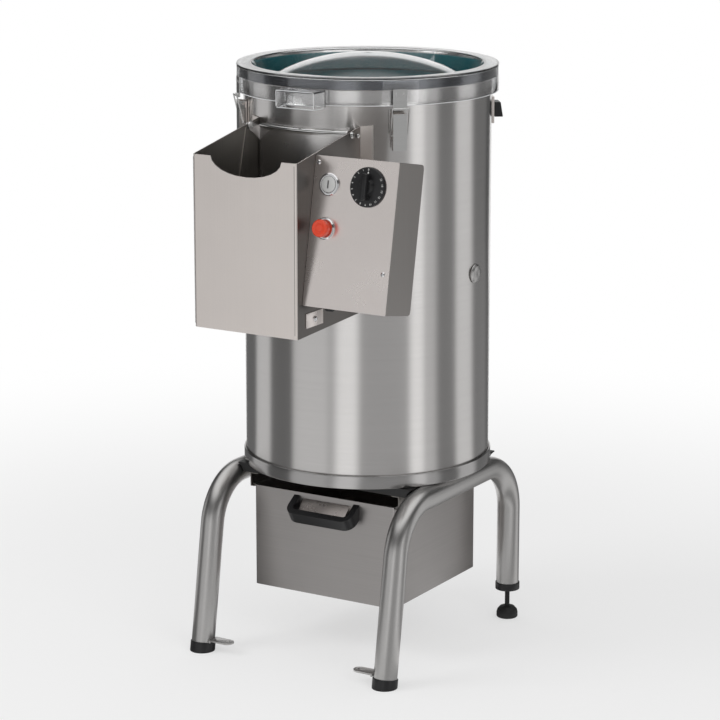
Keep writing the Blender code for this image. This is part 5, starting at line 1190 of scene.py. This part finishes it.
# %% [markdown]
# ## Control box
#
# The box hangs on the chute's right side with its face tilted up. Two screws hold the face. The
# start button is a pale cap in a chromed ring, the stop button is a red mushroom, and the timer knob
# is black with a white scale of minutes.

# %% Box, panel and push buttons
# The box's darker sheet colour is a painted dark reflection.
refined("control_box", "box_sheet_painted_reflection", 0.0006)
refined("control_panel", "panel_sheet", 0.0007, segments=3)
refined("cable_gland", "black_plastic", 0.0005)


def on_panel(u, v):
    """A place on the panel, u to the right and v down from its top left corner, facing out."""
    return ON_PANEL @ Matrix.Translation((u, 0, -v)) @ FACING_USER


ON_START = on_panel(0.0284, 0.0423)
ON_STOP = on_panel(0.0276, 0.1087)
ON_DIAL = on_panel(0.0959, 0.0407)
SCREWS = ((0.0063, 0.0104), (0.135, 0.167))
SCREW_HEIGHTS = (0.0022, 0.0020, 0.0010)
SCREW_RADII = (0.0018, 0.0034, 0.0038)
SLOT_HALF_LENGTH = 0.0022
SLOT_HALF_WIDTH = 0.0004
BEZEL_BORE = 0.0127
BARREL = ((0.0140, GAP), (0.0140, -0.030), (0.0063, -0.030), (0.0063, -0.012), (BEZEL_BORE, -0.012))
CAP_RADIUS = 0.0124
CAP_STEM = ((CAP_RADIUS, -0.006), (0.006, -0.006), (0.006, -0.030), (0, -0.030))
RIBS = 20
for name, place, bezel in (("start", ON_START, 0.0175), ("stop", ON_STOP, 0.0168)):
    turned(
        f"{name}_ring",
        [(BEZEL_BORE, 0.004), (bezel - 0.0016, 0.004), (bezel, 0.0022), (bezel, GAP), *BARREL],
        "chrome", edge=0.0005, sides=72, place=place, replaces=(f"{name}_bezel",),
    )
turned(
    "start_cap", [(0, 0.0045), (CAP_RADIUS, 0.0045), *CAP_STEM], "white_plastic", "start", edge=0.0012,
    sides=64, place=ON_START, replaces=("start_button",),
)
block(
    "start_mark", (-0.0011, -0.0060, 0.0044), (0.0011, 0.0060, 0.0048), "print_grey", "start", edge=0.0001,
    place=ON_START,
)
turned(
    "stop_cap",
    [(0, 0.0172), (0.0048, 0.0172), (0.0053, 0.0165), (0.0066, 0.0165), (0.0071, 0.0174), (0.0116, 0.0180),
     (0.0132, 0.0166), (0.0132, 0.0086), (CAP_RADIUS, 0.0086), *CAP_STEM],
    "red_plastic", "stop", edge=0.0004, sides=64, place=ON_STOP, replaces=("stop_button",),
)
for number, turn in enumerate(round_turn(RIBS)):
    block(
        f"stop_rib_{number:02d}", (-0.0006, 0.0128, 0.0096), (0.0006, 0.0136, 0.0158), "red_plastic", "stop",
        edge=0.0002, place=ON_STOP @ Matrix.Rotation(turn, 4, "Z"),
    )
for number, spot in enumerate(SCREWS, start=1):
    place = on_panel(*spot)
    screw = domed_head(f"panel_screw_{number}", SCREW_HEIGHTS, SCREW_RADII, "chrome", place)
    slots = []
    for x, y in ((SLOT_HALF_LENGTH, SLOT_HALF_WIDTH), (SLOT_HALF_WIDTH, SLOT_HALF_LENGTH)):
        slots.append(block("slot", (-x, -y, 0.0006), (x, y, 0.003), None, edge=0, place=place))
    cut(screw, *slots)
print("controls done")

# %% [markdown]
# The knob is a flat dial with a grip bar across it. A white number for each minute is printed at its
# rim and turns with it, one every 20 degrees, and a white arrow at the end of the grip points out.

# %% Timer knob with its printed scale
KNOB_RADIUS = 0.0302
KNOB_HUB = 0.010
DIAL_LIFT = 0.001
DIAL_TOP = 0.004
SHAFT_RADIUS = 0.003
SHAFT_END = -0.018
PRINT_HEIGHT = 0.00015
PRINT_MERGE = 1e-7
MINUTES = 15
SCALE_SWEEP = radians(300)
NUMBER_SIZE = 0.0043
NUMBER_RADIUS = 0.0262
ARROW = ((-0.0016, 0.0206), (0.0016, 0.0206), (0, 0.0236))

turned(
    "knob_dial",
    [(0, KNOB_HUB), (0.0110, KNOB_HUB), (0.0130, DIAL_TOP), (KNOB_RADIUS - 0.0018, DIAL_TOP),
     (KNOB_RADIUS, DIAL_TOP - 0.0014), (KNOB_RADIUS, DIAL_LIFT), (SHAFT_RADIUS, DIAL_LIFT),
     (SHAFT_RADIUS, SHAFT_END), (0, SHAFT_END)],
    "black_plastic", "knob", edge=0.0006, sides=96, place=ON_DIAL, replaces=("timer_knob",),
)


def knob_bar(name, x, y, bend, steps, low, high, edge):
    """A bar across the dial with rounded corners at x and y from its middle."""
    outline = round_corners([(-x, -y, 0), (x, -y, 0), (x, y, 0), (-x, y, 0)], bend, steps)
    plate(name, outline, low, high, "black_plastic", "knob", edge=edge, place=ON_DIAL)


knob_bar("knob_grip", 0.005, 0.020, 0.0042, 6, 0.003, 0.017, 0.0014)
knob_bar("knob_ridge", 0.0016, 0.017, 0.0015, 4, 0.0165, 0.0176, 0.0004)
plate(
    "knob_arrow", ARROW, DIAL_TOP - 0.0001, DIAL_TOP + 2 * PRINT_HEIGHT, "print_white", "knob", edge=0,
    place=ON_DIAL,
)


def printed(name, text, place):
    """Raised print on the dial: text as a thin solid that stands on its face."""
    curve = bpy.data.curves.new(name, "FONT")
    curve.body = text
    curve.size = NUMBER_SIZE
    curve.align_x = "CENTER"
    curve.align_y = "CENTER"
    curve.extrude = PRINT_HEIGHT
    curve.resolution_u = 3
    holder = bpy.data.objects.new(name, curve)
    show(holder)
    bm = bmesh.new()
    bm.from_mesh(evaluated_mesh(holder))
    bpy.data.objects.remove(holder)
    bmesh.ops.remove_doubles(bm, verts=bm.verts, dist=PRINT_MERGE)
    finish_mesh(name, bm, "print_white", "knob", place=place)


for minute in range(MINUTES + 1):
    spoke = Matrix.Rotation(SCALE_SWEEP * minute / MINUTES, 4, "Z")
    at_rim = ON_DIAL @ spoke @ Matrix.Translation((0, NUMBER_RADIUS, DIAL_TOP))
    printed(f"minute_number_{minute:02d}", str(minute), at_rim)
print(MINUTES + 1, "numbers on the dial")

# %% [markdown]
# ## Peel drawer
#
# The drawer slides out under the drum. Its sheet is coloured darker than the chute's, as painted shade
# under the drum. Its top edges are folded out, a black bow handle is screwed to its front, and a screen
# inside keeps peel back.

# %% Drawer, screen and handle
LIP_SIDE_GAP = 0.018
LIP_REACH = 0.013
LIP_RISE = 0.0150
LIP_DROP = 0.004
ALONG_X = Matrix(((0, 0, 1, 0), (1, 0, 0, 0), (0, 1, 0, 0), (0, 0, 0, 1)))
refined("filter_drawer", "drawer_sheet_painted_shade", 0.0004, "drawer")
refined("filter_screen", "brushed_steel", 0.0002, "drawer")
refined("drawer_handle", "black_plastic", 0.0008, "drawer")
handle_low, handle_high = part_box("drawer_handle")
lip_back, lip_front = handle_high.y - 0.0005, handle_low.y + LIP_REACH
lip = [
    (lip_back, handle_high.z - LIP_DROP), (lip_front, handle_low.z + LIP_RISE + SHEET),
    (lip_front, handle_low.z + LIP_RISE), (lip_back, handle_high.z - LIP_DROP - SHEET),
]
plate(
    "handle_lip", lip, handle_low.x + LIP_SIDE_GAP, handle_high.x - LIP_SIDE_GAP, "panel_sheet", "drawer",
    edge=0.0003, place=ALONG_X,
)
print("drawer pieces done")

# %% [markdown]
# ## Pieces inside
#
# The drive is out of sight until the lid is lifted or the machine is seen from below. The solids
# already have the right shape there, so they only get their worked finishes, and the disc, which is
# seen through the lid, gets its grit.

# %% Finishes of the drive and the chamber
INNER_LOOKS = {
    "chamber_floor": "brushed_steel", "disc_nut": "polished_steel", "drive_shaft": "polished_steel",
    "driven_pulley": "cast_aluminium", "bearing_housing": "cast_aluminium", "drive_belt": "black_rubber",
    "motor_pulley": "cast_aluminium", "motor_shaft": "polished_steel", "motor": "motor_enamel",
    "motor_plate": "inner_sheet", "drain_pipe": "inner_sheet", "timer_body": "black_plastic",
    "abrasive_disc": "teal_abrasive",
}
for node, look in INNER_LOOKS.items():
    relook(node, look)
print(len(INNER_LOOKS), "solids keep their shape and get a worked finish")
